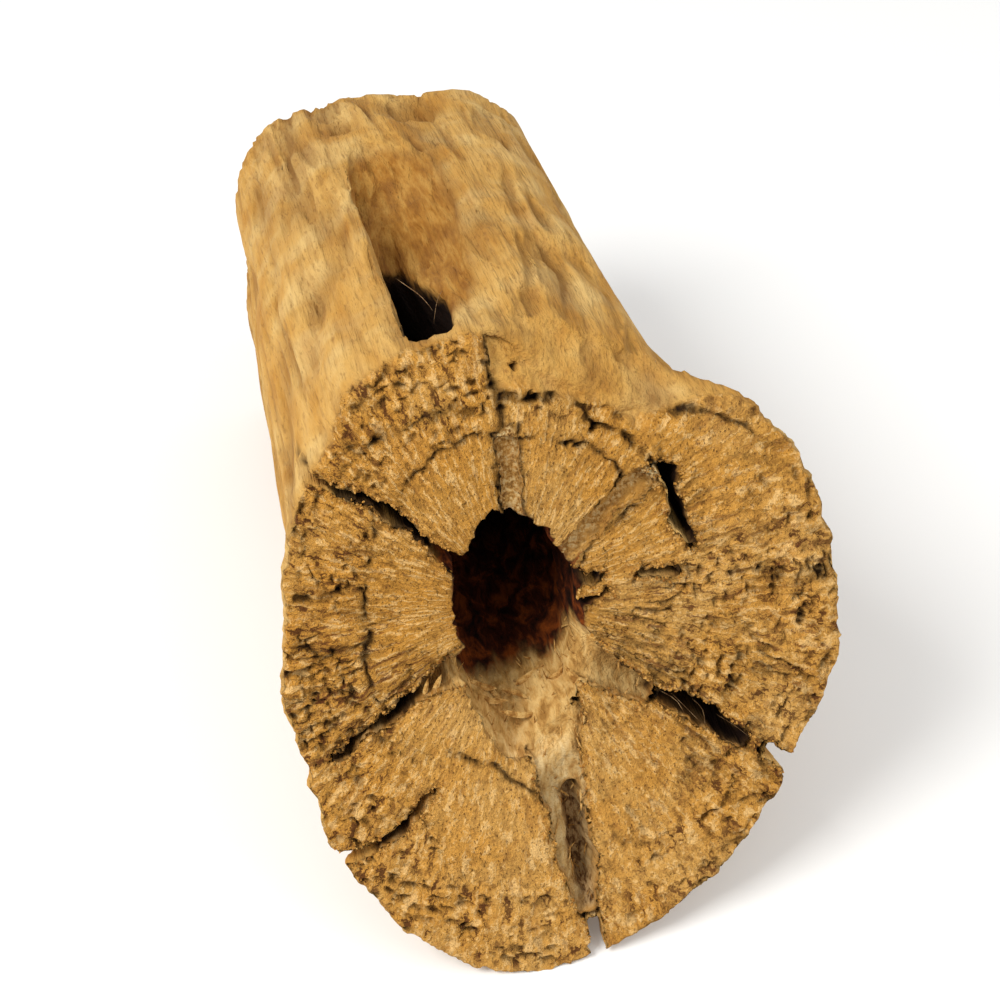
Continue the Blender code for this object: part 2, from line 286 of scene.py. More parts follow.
# %% The outer side
FACE_OUTLINE = [
    (-176, 44), (-163, 47.3), (-150, 49.5), (-143, 53), (-131, 58.5), (-122, 62.5), (-112, 68),
    (-100, 73.3), (-90, 75.2), (-75, 72.5), (-62, 70.5), (-46, 67.5), (-33, 65), (-18, 66),
    (0, 63.5), (18, 61), (30, 59), (41, 54), (47, 48.5), (58, 46), (72, 46.5), (92, 50),
    (107, 50.2), (122, 50.5), (134, 45), (148, 45), (162, 43.5),
]
FLARE_REACH = [(-175, 34), (-140, 62), (-90, 84), (-50, 66), (-15, 44), (20, 36), (60, 26), (120, 24)]
HALF_WIDTH, HALF_WIDTH_FAR, TRUNK_MID_U = 39.9, 40.6, 0.1
TRUNK_TOP, TRUNK_TOP_FAR, TRUNK_BOTTOM = 50.0, 53.6, -34.7
SQUARENESS, SQUARENESS_FAR = 2.4, 3.4


def round_table(table, angle):
    """A value given at some angles, read smoothly at any angle."""
    angles = np.array([row[0] for row in table] + [table[0][0] + 360.0])
    values = np.array([row[1] for row in table] + [table[0][1]])
    turned = angles[0] + (angle - angles[0]) % 360
    i = np.clip(np.searchsorted(angles, turned, side="right") - 1, 0, len(table) - 1)
    share = smooth((turned - angles[i]) / (angles[i + 1] - angles[i]))
    return values[i] + (values[i + 1] - values[i]) * share


def run_table(table, s):
    """The columns of a table at s, worked out between its rows."""
    rows = np.array(table, dtype=float)
    return [np.interp(s, rows[:, 0], rows[:, i]) for i in range(1, rows.shape[1])]


def side_radius(angle, s, behind):
    far = smooth(s / LENGTH)
    top = TRUNK_TOP + (TRUNK_TOP_FAR - TRUNK_TOP) * far
    half_width = HALF_WIDTH + (HALF_WIDTH_FAR - HALF_WIDTH) * far
    square = SQUARENESS + (SQUARENESS_FAR - SQUARENESS) * far
    middle, half = (top + TRUNK_BOTTOM) / 2, (top - TRUNK_BOTTOM) / 2
    c, d = np.cos(np.radians(angle)), np.sin(np.radians(angle))
    low, high = np.full(len(angle), 10.0), np.full(len(angle), 90.0)
    for _ in range(13):
        trial = (low + high) / 2
        inside = np.abs((trial * c - TRUNK_MID_U) / half_width) ** square
        inside = inside + np.abs((trial * d - middle) / half) ** square < 1
        low, high = np.where(inside, trial, low), np.where(inside, high, trial)
    flare = np.clip(1 - behind / round_table(FLARE_REACH, angle), 0, 1) ** 1.5
    return low + (round_table(FACE_OUTLINE, angle) - low) * flare


under = side_radius(angle, s, np.maximum(behind, 0)) - radius
outward = (facing[:, 0] * u + facing[:, 1] * v) / np.maximum(radius, 1)
print("deepest point under the side, mm", under.max().round(1))

# %% The hollow and the opening in the top
HOLLOW = [
    (-30, 1, -8, 15, 25), (-6, 0.5, -6, 12.5, 23.5), (6, 0, -4, 12.5, 21), (22, -1, -1, 14.5, 19),
    (45, -2, 2, 16, 18), (80, -1, 4, 15, 16), (125, 1, 6, 13.5, 14.5), (LENGTH + 12, 2, 8, 14, 15),
]
mid_u, mid_v, half_u, half_v = run_table(HOLLOW, s)
in_hollow = np.hypot((u - mid_u) / half_u, (v - mid_v) / half_v)

OPENING_EDGE = [    # s, left and right of the slot, height of its edge
    (14, -11, -7, 52), (19, -13, -5.5, 50), (23, -14, -4.5, 48.8), (32, -14.5, -3.5, 47.2), (42, -14.5, -3.2, 45.8),
    (52, -15, -5, 44.2), (62, -15, -6.5, 42), (73, -15, -8, 40), (80, -15, -9, 38.6), (90, -15, -9, 38),
]
slot_left, slot_right, slot_edge = run_table(OPENING_EDGE, s)
# Painted shade: near black below the edge of the opening in the top, where it drops into the hollow.
slot_painted_shade = smooth((slot_edge - 0.3 - v) / 1.4) * smooth((82 - s) / 3) * smooth((s - 14) / 3)
slot_painted_shade *= smooth((u - slot_left + 2.6) / 0.8) * smooth((slot_right + 2.2 - u) / 0.8) * smooth((v - 20) / 4)

square_on = facing @ FACE_NORMAL
saw = smooth((square_on - 0.35) / 0.4) * smooth((2.6 - behind) / 1.4)
far_end = smooth((facing[:, 2] - 0.35) / 0.4) * smooth((s - LENGTH + 2.5) / 1.4)
inner = smooth((under - 4.5) / 3.0) * smooth((0.35 - outward) / 0.5) * (1 - saw) * (1 - far_end)
hollow = inner * smooth((1.32 - in_hollow) / 0.16)
opening = inner * (1 - hollow) * smooth((s - 14) / 6) * smooth((140 - s) / 8)
opening = opening * smooth((v - 4) / 8) * smooth((28 - np.abs(u)) / 6)
crack_wall = inner * (1 - hollow) * (1 - opening)
side = np.clip(1 - saw - far_end - inner, 0, 1)
print("points on", {name: int((share > 0.5).sum()) for name, share in (
    ("the cut", saw), ("the far end", far_end), ("the hollow", hollow), ("the opening", opening),
    ("the walls of cracks", crack_wall), ("the side", side))})

# %% [markdown]
# ## Cracks in the sawn end
# The wood has dried and split along its rays and its rings. The wide cracks are in the solid, and here
# their edges crumble. The narrow ones, from hair lines to 2 mm, are trenches in the fine mesh. Each is a
# run of points with a width, and noise shifts the coordinates first, so no edge runs straight.

# %% Runs of the cracks
CRACKS = {
    "lower_right_fibrous": [(9, -10.5, 10), (13, -14, 7.6), (19.7, -17.8, 5.2), (25, -21.2, 4)],
    "lower_right_open": [(26.5, -21.4, 2.6), (30.5, -23.2, 4.4), (34.7, -26.3, 4.7), (39, -30, 4.4),
                         (43.5, -33.3, 3)],
    "lower_right_notch": [(47.3, -35.6, 3.2), (53, -39.5, 3.6), (62, -46, 6)],
    "bottom_channel": [(5, -22, 12), (5.6, -33, 8.8), (6.6, -42, 8), (8, -52, 7), (9.6, -63, 4.6)],
    "bottom_notch": [(10, -64.5, 2.2), (10.8, -72, 3), (11.6, -84, 4.4)],
    "lower_left": [(-9, -10, 7), (-16, -12.8, 4.4), (-21, -15.5, 2.8), (-27, -18.8, 2), (-37, -25.5, 1.2)],
    "low_left": [(-19, -34, 1.2), (-25, -40, 1.8), (-29.5, -43, 2.4), (-34, -44.4, 2.2), (-42, -45, 3)],
    "upper_left": [(-9, 7.5, 3), (-14, 12, 1.6), (-18.5, 17, 1.4), (-22, 19.6, 2.6), (-27, 23.4, 1.4),
                   (-34, 26.6, 1.2), (-41, 28.5, 1.4)],
    "gap_by_lobe": [(29, 22.4, 1.6), (31.2, 20.8, 3.4), (31.6, 17, 2.4), (33, 12, 3), (35.2, 7, 2.2)],
    "slot_by_lobe": [(24.8, 2.4, 1.7), (32.2, 2.2, 1.8)],
    "bite_by_hollow": [(10, 3, 4), (14, 2.8, 2.6), (17, 2.4, 1.6)],
    "bite_below": [(10.5, -2.6, 1.8), (14.5, -1.8, 1.6), (18, -0.3, 1.4)],
}
# Painted shade: these slots get the darkest colour, as shade where they lead far into the wood.
DEEP_SLOTS = {      # the darkest parts, which lead far into the wood
    "channel_hole": [(7.6, -39.4, 1.8), (8.8, -40.0, 1.6)],
    "lower_right_open": CRACKS["lower_right_open"],
    "bite_below": [(12.5, -2.2, 1.7), *CRACKS["bite_below"][1:]],
    "bite_by_hollow": CRACKS["bite_by_hollow"],
    "gap_by_lobe": CRACKS["gap_by_lobe"],
    "slot_by_lobe": CRACKS["slot_by_lobe"],
    "lower_left_end": CRACKS["lower_left"][2:],
    "upper_left_end": [*CRACKS["upper_left"][1::2], CRACKS["upper_left"][-1]],
    "low_left": CRACKS["low_left"][1:],
}
RAYS = {
    "grey_ray_top": [(1.2, 12, 4.0), (1.1, 22, 3.6), (1.2, 31, 2.8), (1.3, 33, 1.0)],
    "grey_ray_right": [(8, 6, 2.2), (15.5, 11.5, 1.8), (20.5, 15.8, 1.4), (25, 19.2, 2.2), (28.6, 22, 3.0)],
}
# Narrow cracks: a run of (u, v, width), and a depth.
LINES = {
    "ring_upper_left": ([(-0.5, 31.7, 0.3), (-5.6, 31.8, 0.4), (-10, 30.5, 0.4), (-13.3, 28.5, 0.4),
                         (-16.5, 26.2, 0.3), (-18.6, 23.7, 0.3), (-19.6, 21, 0.4)], 0.8),
    "ring_upper_right": ([(3.3, 30.5, 0.4), (8.3, 29.9, 0.2), (13, 28.7, 0.7), (17.9, 26.1, 0.5),
                          (20.6, 23.3, 0.5), (22.3, 20.5, 0.8)], 0.9),
    "ring_left": ([(-24.5, 17, 0.4), (-27, 8, 0.3), (-28, -3, 0.6), (-29, -12, 0.7), (-27, -16, 0.8)], 1.1),
    "cross_left": ([(-42, -3.4, 1.0), (-36, -4, 0.8), (-29, -4, 0.3)], 1.3),
    "outer_ring": ([(1, 38, 1.2), (6, 37.6, 1.0), (12, 36.4, 1.1), (16, 34, 0.7), (18.6, 31, 0.6),
                    (23, 28.6, 0.9), (28, 24, 0.9)], 1.5),
    "outer_left_bands": ([(-28.6, 31.8, 0.1), (-23.5, 33.3, 0.2), (-18.2, 34.5, 0.1), (-12.5, 36.4, 0.3),
                          (-7.8, 37.2, 0.1)], 0.5),
    "torn_hole_left": ([(-25.6, 31.0, 0.9), (-24.2, 32.6, 0.5), (-23.4, 33.2, 1.1), (-21.6, 34.9, 0.9)], 1.7),
    "torn_hole_top": ([(-9.4, 36.7, 0.7), (-8.2, 37.2, 1.0), (-6.6, 37.8, 0.6)], 1.6),
    "seam_low_left": ([(-15.4, -26.4, 1.0), (-13, -27.4, 0.5), (-8, -30.6, 0.6), (-3, -34.4, 0.5),
                       (1, -37.6, 0.4)], 0.8),
    "rough_left": ([(-41, 6.6, 0.6), (-36, 6.0, 1.2), (-31, 7.0, 1.3), (-28.4, 6.4, 0.6)], 1.1),
    "top_ray": ([(-1, 49, 0.5), (-1.4, 44, 0.4), (-0.6, 40, 0.8), (0.4, 36, 1.0), (0, 33, 0.8)], 1.3),
    "ray_left_edge": ([(-1.2, 13, 0.4), (-1.3, 22, 0.6), (-1, 33, 0.3)], 1.0),
    "ray_right_edge": ([(3.7, 13, 0.3), (3.5, 22, 0.4), (3.1, 33, 0.4)], 0.8),
    "right_ray_upper_edge": ([(10, 8.2, 0.6), (16.2, 14.5, 0.6), (19.2, 17.4, 0.5), (22.4, 20.6, 0.7)], 1.2),
    "right_ray_lower_edge": ([(12, 4.6, 0.4), (17, 9.4, 0.4), (22.5, 13.4, 0.4), (28, 18, 0.8)], 0.9),
    "lobe_edge": ([(29, 32, 0.6), (36, 32, 0.9), (42, 30, 0.3), (47, 28, 0.5), (51, 24, 0.3)], 0.9),
    "lobe_seam": ([(26, 38, 0.2), (29, 32, 0.3), (31, 27, 0.4), (30, 23, 0.4)], 0.7),
}
HOLES = [(4, 43, 0.9), (6.5, 37.6, 0.8), (18.2, 30.6, 0.9),
         (12.8, 27.7, 0.7), (14.6, 27.2, 0.5), (-14.4, 26.8, 0.4), (-12.4, 28.2, 0.4)]      # u, v, radius


def run_gap(u, v, run):
    """How far each point lies outside a run's outline, below 0 inside it."""
    best = np.full(len(u), 99.0)
    for (u0, v0, w0), (u1, v1, w1) in zip(run, run[1:]):
        du, dv = u1 - u0, v1 - v0
        share = np.clip(((u - u0) * du + (v - v0) * dv) / (du * du + dv * dv), 0, 1)
        best = np.minimum(best, np.hypot(u - u0 - share * du, v - v0 - share * dv) - 0.5 * (w0 + (w1 - w0) * share))
    return best


NEAR_CUT = 16           # mm behind the cut, as far as its cracks reach
near = np.nonzero((behind < NEAR_CUT) & (radius < 84))[0]
flat = np.stack([u[near], v[near], np.full(len(near), 3.0)], axis=1)
warp_u = u[near] + 0.45 * noise(flat, 2.2, 11, 2)
warp_v = v[near] + 0.45 * noise(flat, 2.2, 21, 2)
wide = np.min([run_gap(u[near], v[near], run) for run in CRACKS.values()], axis=0)
rays = np.min([run_gap(warp_u, warp_v, run) for run in RAYS.values()], axis=0)
rays = rays + 0.7 * noise(flat, 1.8, 13, 2)

# Everything near the cut is shifted across the grain, which bends and frays the edges of the cracks.
layered = np.stack([u[near], v[near], behind[near] * 0.35], axis=1)
fade, fray = smooth((NEAR_CUT - behind[near]) / 10), smooth((5 - behind[near]) / 4)
bend = np.zeros((len(u), 3))
fray *= 0.62 + 0.5 * smooth((24 - radius[near]) / 4)
for axis, seed in ((0, 14), (1, 24)):
    bend[near, axis] = fade * noise(layered, 4.6, seed, 2) + fray * noise(layered, 1.5, seed + 2, 2, 0.7)
browned = run_gap(warp_u, warp_v, [(8.4, -41, 3), (8.6, -46, 4.6), (9, -52, 4.8), (9.8, -60, 4), (10.4, -66, 4)])
browned += 1.6 * noise(flat * np.array([1, 0.4, 1]), 1.6, 12, 2)
print("near the cut", len(near), "in a wide crack", int((wide < 0).sum()), "in a grey ray", int((rays < 0).sum()))

# %% [markdown]
# ## Relief of the sawn end
# End grain that has weathered crumbles: the soft spring wood wears back and the vessels open, so the face
# is a field of small grains and pits, coarser in some patches, with streaks along the rays where the wood
# has torn. The wedges between the cracks have sunk a little, each by its own amount.

# %% Relief of the sawn end
WEDGES = [      # angle, level: how far each wedge stands out (mm)
    (-178, -0.1), (-156, 0.3), (-150, -0.5), (-128, 0.0), (-120, 0.2), (-92, 0.4), (-80, -0.2), (-72, -0.3),
    (-44, 0.1), (-34, 0.5), (0, 0.3), (6, -0.2), (28, -0.3), (38, 0.2), (50, -0.4), (58, -0.2), (84, 0.4),
    (91, 0.1), (130, 0.5), (146, -0.4), (165, 0.1),
]
COARSE_FROM = [     # angle, radius from which the grain is coarse
    (-178, 27), (-150, 27), (-142, 30), (-126, 42), (-100, 52), (-84, 54), (-60, 50), (-40, 42), (-34, 30),
    (-10, 28), (4, 30), (14, 50), (34, 52), (46, 40), (56, 31), (84, 31), (98, 31), (140, 30), (160, 27),
]
STREAKS = [         # angle, how much the wood has torn along its rays there
    (-178, 1.0), (-152, 1.0), (-143, 0.35), (-118, 0.15), (-86, 0.2), (-72, 0.35), (-46, 0.5), (-34, 1.0),
    (-4, 1.0), (6, 0.5), (34, 0.5), (44, 0.25), (60, 0.15), (100, 0.15), (140, 0.2), (160, 0.45), (174, 0.7),
]


def end_grain(u, v, at):
    """Height of the crumbling face in millimetres, the painted shade of its pits and splits, how coarse and how torn
    it is.
    """
    turn, r = np.arctan2(v, u), np.hypot(u, v)
    degrees = np.degrees(turn)
    rings_at = np.stack([np.cos(turn) * 9, np.sin(turn) * 9, r * 0.9], axis=1)
    bands = noise(rings_at, 2.6, 33, 2)
    coarse = smooth((r - round_table(COARSE_FROM, degrees) + 4 * noise(at, 8, 31, 2)) / 6)
    coarse = np.clip(coarse * (0.78 + 0.9 * bands) + 0.35 * smooth(noise(at, 14, 32, 2) * 2), 0, 1)
    rays_at = np.stack([np.cos(turn) * 33, np.sin(turn) * 33, r * 0.15], axis=1)
    streak = noise(rays_at, 1.2, 35, 2, 0.5)
    torn = round_table(STREAKS, degrees) * smooth((r - 12) / 10) * smooth(0.8 + 1.2 * noise(at, 9.0, 37, 2))
    split = smooth((0.26 - np.abs(streak)) / 0.2) * smooth(0.45 + 2.0 * noise(at, 5.0, 39, 2))
    ring_at = np.stack([np.cos(turn) * 20, np.sin(turn) * 20, r], axis=1)
    grain = noise(at, 1.9, 41, 3, 0.7)
    fine = noise(at, 0.95, 45, 2, 0.7)
    pit_at = ring_at + 0.6 * noise(at, 1.7, 46, 2)[:, None]
    pits = smooth((0.47 - cells(pit_at, 1.5, 47)) / 0.24) * smooth(0.35 + 1.4 * noise(at, 5.0, 51, 2) + 0.4 * coarse)
    small_pits = smooth((0.42 - cells(pit_at * 1.3 + 3, 1.15, 57)) / 0.2) * smooth(0.5 + 1.2 * noise(at, 6.0, 58, 2))
    height = 0.30 * noise(at, 7.5, 43, 2) + (0.10 + 0.55 * coarse) * grain + (0.05 + 0.12 * coarse) * fine
    height -= (0.10 + 1.05 * coarse) * pits + 0.16 * small_pits * (1 - coarse)
    height += torn * (0.7 * streak - 0.95 * split)
    # Painted shade: the pits, the splits along the rays and the low grain of coarse patches are darkened in colour.
    painted_shade = pits * (0.2 + 0.55 * coarse) + 0.3 * small_pits * (1 - coarse) + 0.65 * torn * split
    painted_shade = painted_shade + 0.3 * coarse * smooth(-0.3 - 1.8 * grain)
    return height, painted_shade, coarse, torn


height, painted_shade, coarse, torn = (np.zeros(len(u)) for _ in range(4))       # torn: how much it has split along its rays
grain_height, grain_painted_shade, coarse[near], torn[near] = end_grain(u[near], v[near], flat)
worn = smooth((angle - 45) / 7) * smooth((93 - angle) / 4) * smooth((radius - 38.5 - 1.5 * noise(uvs, 5, 63)) / 1.6)
height[near] = grain_height * (1 - 0.75 * worn[near]) + round_table(WEDGES, angle[near])
height[near] -= worn[near] * (0.7 + 0.28 * np.clip(radius[near] - 38, 0, 12))
# Painted shade of the pits and splits, less where the cut is worn.
painted_shade[near] = 0.85 * grain_painted_shade * (1 - worn[near])

crumble = noise(flat, 1.7, 61, 3, 0.7)
edge = smooth((2.4 - wide) / 2.4) * smooth(0.35 + 1.3 * crumble)
push = edge + 3.0 * smooth((0.3 + 0.5 * crumble - wide) / 0.8)
# Painted shade: darker along the crumbling edges of the wide cracks, near black inside them.
painted_shade[near] += 0.25 * edge + 0.85 * smooth((0.15 - wide) / 0.6)
broken = smooth(0.55 + 1.3 * noise(flat, 2.8, 71, 2))
for run, depth in LINES.values():
    gap = run_gap(warp_u, warp_v, run)
    trench = smooth((0.42 - gap) / 0.5) * broken
    push += depth * trench + 0.3 * smooth((1.5 - gap) / 1.5) * smooth(crumble * 2)
    # Painted shade in each narrow crack, and a faint band of it beside.
    painted_shade[near] += 0.62 * trench + 0.16 * smooth((1.2 - gap) / 1.2)
for hole_u, hole_v, hole_radius in HOLES:
    stretch = np.hypot((warp_u - hole_u) * 0.7, warp_v - hole_v) - 0.8 * crumble
    push += 2.0 * smooth((0.3 - stretch + hole_radius) / 0.8)
    # Painted shade inside each hole.
    painted_shade[near] += 0.9 * smooth((0.1 - stretch + hole_radius) / 0.5)
ray_lumps = noise(flat * np.array([1.6, 1.0, 1]), 1.5, 75, 3, 0.7)
push += smooth((0.3 - rays) / 0.8) * (0.5 + 0.9 * ray_lumps)
ray_edge = smooth((0.55 - np.abs(rays - 0.25)) / 0.5) * smooth(0.3 + 1.8 * noise(flat, 2.4, 73, 2))
push += 0.7 * ray_edge
# Painted shade in the trenches along the edges of the grey rays.
painted_shade[near] += 0.6 * ray_edge
height[near] -= push
print("sawn end: relief from", height[near].min().round(2), "to", height[near].max().round(2), "mm")

# %% [markdown]
# ## Relief of the sides, the hollow and the opening
# The sea wears the outside soft: long low lumps and grooves that follow the grain. Inside, rot has left a
# web of ribs and pockets. Both are noise along the wood, stretched along its grain.

# %% Relief elsewhere


def along(points, share):
    """Places in the wood with this share of their length, so that noise there stretches along the grain."""
    return points * np.array([1, 1, share])


drift = np.stack([noise(along(uvs, 0.5), 22, seed, 2) for seed in (78, 79)], axis=1)
swayed = uvs.copy()
swayed[:, :2] += 3.2 * drift
long_grain = along(swayed, 0.06)
gullies = noise(along(swayed, 0.075), 3.7, 81, 2, 0.35)
slits = noise(long_grain, 2.3, 83, 2, 0.4)
ovals = noise(along(swayed, 0.16), 6.0, 87, 2, 0.3)
side_height = 0.4 * noise(long_grain, 6.4, 84, 2) + 0.14 * noise(long_grain, 1.5, 85, 2)
side_height -= 1.05 * smooth((gullies - 0.1) / 0.34) + 0.5 * smooth((slits - 0.2) / 0.25)
spots = smooth((ovals - 0.42) / 0.2)
side_height -= spots
side_height += 0.3 * np.clip(under, -3, 3)
web = cells(along(uvs, 0.55) + 0.8 * noise(uvs, 5, 91)[:, None], 5.5, 93)
hollow_height = 1.3 * (0.55 - web) + 0.8 * noise(along(uvs, 0.14), 3.2, 95, 3)
near_cut = smooth((7 - behind) / 7)
wall_height = (0.4 + 0.4 * near_cut) * noise(along(uvs, 0.45), 2.2, 97, 3, 0.65)
wall_height += 0.35 * noise(uvs * np.array([1, 0.22, 0.22]), 0.9, 98, 2)
opening_height = 0.55 * noise(along(swayed, 0.3), 3.4, 99, 3, 0.6)
rough_end = smooth((s - 88) / 12) * smooth((v - 38) / 4)
opening_height += rough_end * 0.9 * noise(along(uvs, 0.6), 2.6, 100, 3, 0.65)
far_height = 0.45 * noise(uvs, 4.5, 101, 3, 0.65) + 0.25 * noise(uvs, 1.4, 103, 2)

rise = saw * height + far_end * far_height + side * side_height * smooth((behind - 1) / 12)
rise += hollow * hollow_height + opening * opening_height + crack_wall * wall_height
rise = np.where((saw > 0) & (saw < 1), np.clip(rise, -1.6, 0.6), rise)      # keeps the rim of the cut whole
print("relief overall", rise.min().round(2), rise.max().round(2), "mm")

# %% Moving the points
GROUND = 0.0


def move_points(mesh, uvs, facing, saw, rise, bend):
    """Each point goes along its own normal, a point of the cut goes square to it, and all go with the bend."""
    way = facing * (1 - saw[:, None]) + FACE_NORMAL * saw[:, None]
    way /= np.linalg.norm(way, axis=1)[:, None]
    world = in_world(uvs + bend + way * rise[:, None])
    world[:, 2] = np.maximum(world[:, 2], GROUND)
    mesh.vertices.foreach_set("co", world.ravel())
    mesh.update()
    return world


placed = move_points(wood.data, uvs, facing, saw, rise, bend)
print("lowest and highest, mm", (placed.min(axis=0) * 1000).round(1), (placed.max(axis=0) * 1000).round(1))

# %% [markdown]
# ## What the material reads from the mesh
# Some things are only known here: which region a point is on, how deep it lies in a pit or a crack and so how much
# painted shade its colour gets, and which wedge it belongs to. They go onto the mesh as named numbers on its points,
# and the material mixes its finishes by them.

# %% Numbers on the points
TONES = [   # angle, paleness of the wood there
    (-178, 0.4), (-154, 0.45), (-146, 0.6), (-128, 0.7), (-118, 0.85), (-88, 0.85), (-78, 0.8), (-44, 0.75),
    (-34, 0.7), (-4, 0.75), (14, 0.6), (40, 0.7), (54, 0.6), (86, 0.5), (96, 0.5), (140, 0.5), (160, 0.45),
]
to_lobe = smooth((angle + 40) / 30) * smooth((40 - angle) / 20)
tone = round_table(TONES, angle) + 0.1 * smooth((30 - radius) / 2) * (1 - to_lobe)
tone += 0.3 * noise(uvs, 14, 111, 2)
slot_floor = smooth((-v - 8 + 2 * noise(uvs, 4, 113)) / 3)
slot_floor = slot_floor * smooth((19.5 - 0.05 * u ** 2 + 4 * noise(uvs, 5, 115, 2) - behind) / 3)
deep, deep_slot = np.zeros(len(u)), np.zeros(len(u))
slot_gap = np.min([run_gap(u[near], v[near], run) for run in DEEP_SLOTS.values()], axis=0)
deep[near], deep_slot[near] = smooth((1.2 - slot_gap) / 1.2), smooth((0.3 - slot_gap) / 0.4)
deep = np.where(behind < 9, deep, 1.0)
# Painted shade: crack walls darken with depth behind the cut, and the opening's slot, the deep slots and the far
# part of the hollow go near black.
crack_painted_shade = smooth((behind - 0.6) / 2.6) * (0.3 + 0.7 * deep)
painted_shade = saw * painted_shade + crack_wall * (0.1 + 0.9 * crack_painted_shade)
painted_shade = np.maximum(painted_shade, slot_painted_shade * smooth((under - 0.8) / 0.8))
painted_shade = np.maximum(painted_shade, deep_slot * (1 - side) * smooth((behind - 0.2) / 1.0))
painted_shade[near] = np.maximum(painted_shade[near], 0.92 * smooth((-0.1 - slot_gap) / 0.4))
painted_shade = np.clip(np.maximum(painted_shade, 0.95 * hollow * smooth((s - 42) / 16)), 0, 1)
# Painted shade: the side is darker in its gullies, slits and oval pits and in the recesses under it.
groove = 0.5 * smooth((gullies - 0.14) / 0.34) + 0.4 * smooth((slits - 0.2) / 0.25) + 0.5 * spots
groove = side * np.clip(groove, 0, 1)
groove = np.maximum(groove, side * 0.65 * smooth((under - 1.2) / 2.0) * smooth((behind - 12) / 6))
grey = np.zeros(len(u))
grey[near] = smooth((0.5 - rays) / 0.9) * smooth((4 - behind[near]) / 3)
fibrous = np.zeros(len(u))
fibrous_gap = np.min([run_gap(warp_u, warp_v, CRACKS[name])
                      for name in ("bottom_channel", "lower_right_fibrous")], axis=0)
fibrous[near] = smooth((0.4 - fibrous_gap) / 0.8)
fibrous = fibrous * smooth((behind - 0.8) / 1.2) * smooth((11 - behind) / 3) * (1 - 0.9 * deep)
brown_fibres, ragged = np.zeros(len(u)), np.zeros(len(u))
brown_fibres[near] = smooth((0.5 - browned) / 1.8) * smooth((behind[near] - 1) / 2)
ragged[near] = saw[near] * smooth((0.9 - np.abs(wide - 0.5)) / 0.5)


scoop = smooth((under - 1.2) / 2.4) * smooth((s - 16) / 8) * smooth((136 - s) / 8) * smooth((v - 24) / 5)
scoop *= smooth((u + 19) / 3) * smooth((9 - u) / 6)


def number(mesh, name, values):
    layer = mesh.attributes.new(name, "FLOAT", "POINT")
    layer.data.foreach_set("value", np.clip(values, 0, 1).astype(np.float32))


for name, values in {
    "on_cut": saw * (1 - worn), "torn": torn, "on_far_end": far_end, "in_hollow": hollow,
    "in_opening": np.maximum(opening, side * scoop), "in_crack": crack_wall, "painted_shade": painted_shade, "groove": groove,
    "grey": grey, "tone": tone, "coarse": coarse,
    "pale_floor": np.maximum(hollow * slot_floor, fibrous), "brown_fibres": brown_fibres, "ragged": ragged,
    # Painted light on the fibres of the channel below the mouth.
    "channel_painted_light": smooth((-v - 27) / 5) * smooth((behind + 1) / 2),
}.items():
    number(wood.data, name, values)
print("numbers on the points:", [a.name for a in wood.data.attributes if a.data_type == "FLOAT"])

# %% Thinning the sides
TRIANGLES = 192000
SPECK_FACES = 120


def drop_specks(mesh):
    """Takes out the closed specks that thinning leaves, of two faces or a few more, which hold no wood."""
    bm = bmesh.new()
    bm.from_mesh(mesh)
    seen, specks, sizes = set(), [], []
    for face in bm.faces:
        if face in seen:
            continue
        seen.add(face)
        island, ahead = [], [face]
        while ahead:
            here = ahead.pop()
            island.append(here)
            for other in (f for edge in here.edges for f in edge.link_faces if f not in seen):
                seen.add(other)
                ahead.append(other)
        sizes.append(len(island))
        if len(island) < SPECK_FACES:
            specks += island
    bmesh.ops.delete(bm, geom=specks, context="FACES")
    bm.to_mesh(mesh)
    bm.free()
    print("closed shells, in faces:", sorted(sizes, reverse=True)[:12], "and taken out", len(specks))


keep = wood.vertex_groups.new(name="may_thin")
thin = 1 - np.clip(saw * 1.3, 0, 1) * (behind < 3)
steps = np.round(thin * 4).astype(int)
for step in range(5):
    keep.add(np.nonzero(steps == step)[0].tolist(), step / 4, "REPLACE")
decimate = wood.modifiers.new("thin_out", "DECIMATE")
decimate.ratio = min(1.0, TRIANGLES / (2 * len(wood.data.polygons)))
decimate.vertex_group = "may_thin"
decimate.vertex_group_factor = 1.0
thinned = plain_mesh(wood)
wood.vertex_groups.clear()
wood.data = thinned
thinned.name = "weathered_wood"
drop_specks(thinned)
thinned.polygons.foreach_set("use_smooth", [True] * len(thinned.polygons))
thinned.calc_loop_triangles()
print("after thinning:", len(thinned.vertices), "vertices,", len(thinned.loop_triangles), "triangles")

# %% [markdown]
# ## The material
# One material covers the whole piece, because it is one piece of wood. Its first node turns Object
# coordinates into places along the grain. Groups then make each finish: the crumbly end grain, the long
# grain of the sides, and the red-brown web of the hollow, darkened with painted shade. The numbers on the points mix
# them.

# %% Helpers for node trees


def group(name, inputs, outputs, kind="Shader"):
    """An empty group with named sockets, and its two end nodes. A socket is a name, a kind and a value."""
    tree = bpy.data.node_groups.new(name, kind + "NodeTree")
    for socket, form, *value in inputs:
        made = tree.interface.new_socket(socket, in_out="INPUT", socket_type="NodeSocket" + form)
        if value:
            made.default_value = value[0]
    for socket, form in outputs:
        tree.interface.new_socket(socket, in_out="OUTPUT", socket_type="NodeSocket" + form)
    return tree, tree.nodes.new("NodeGroupInput"), tree.nodes.new("NodeGroupOutput")


def join(tree, *pairs):
    """Leads each output into its input."""
    for source, target in pairs:
        tree.links.new(source, target)


def maths(tree, operation, a, b):
    node = tree.nodes.new("ShaderNodeMath")
    node.operation = operation
    for socket, value in zip(node.inputs, (a, b)):
        if isinstance(value, (int, float)):
            socket.default_value = value
        else:
            tree.links.new(value, socket)
    return node.outputs[0]


def added(tree, a, b, share):
    """a and a share of b."""
    return maths(tree, "ADD", a, maths(tree, "MULTIPLY", b, share))


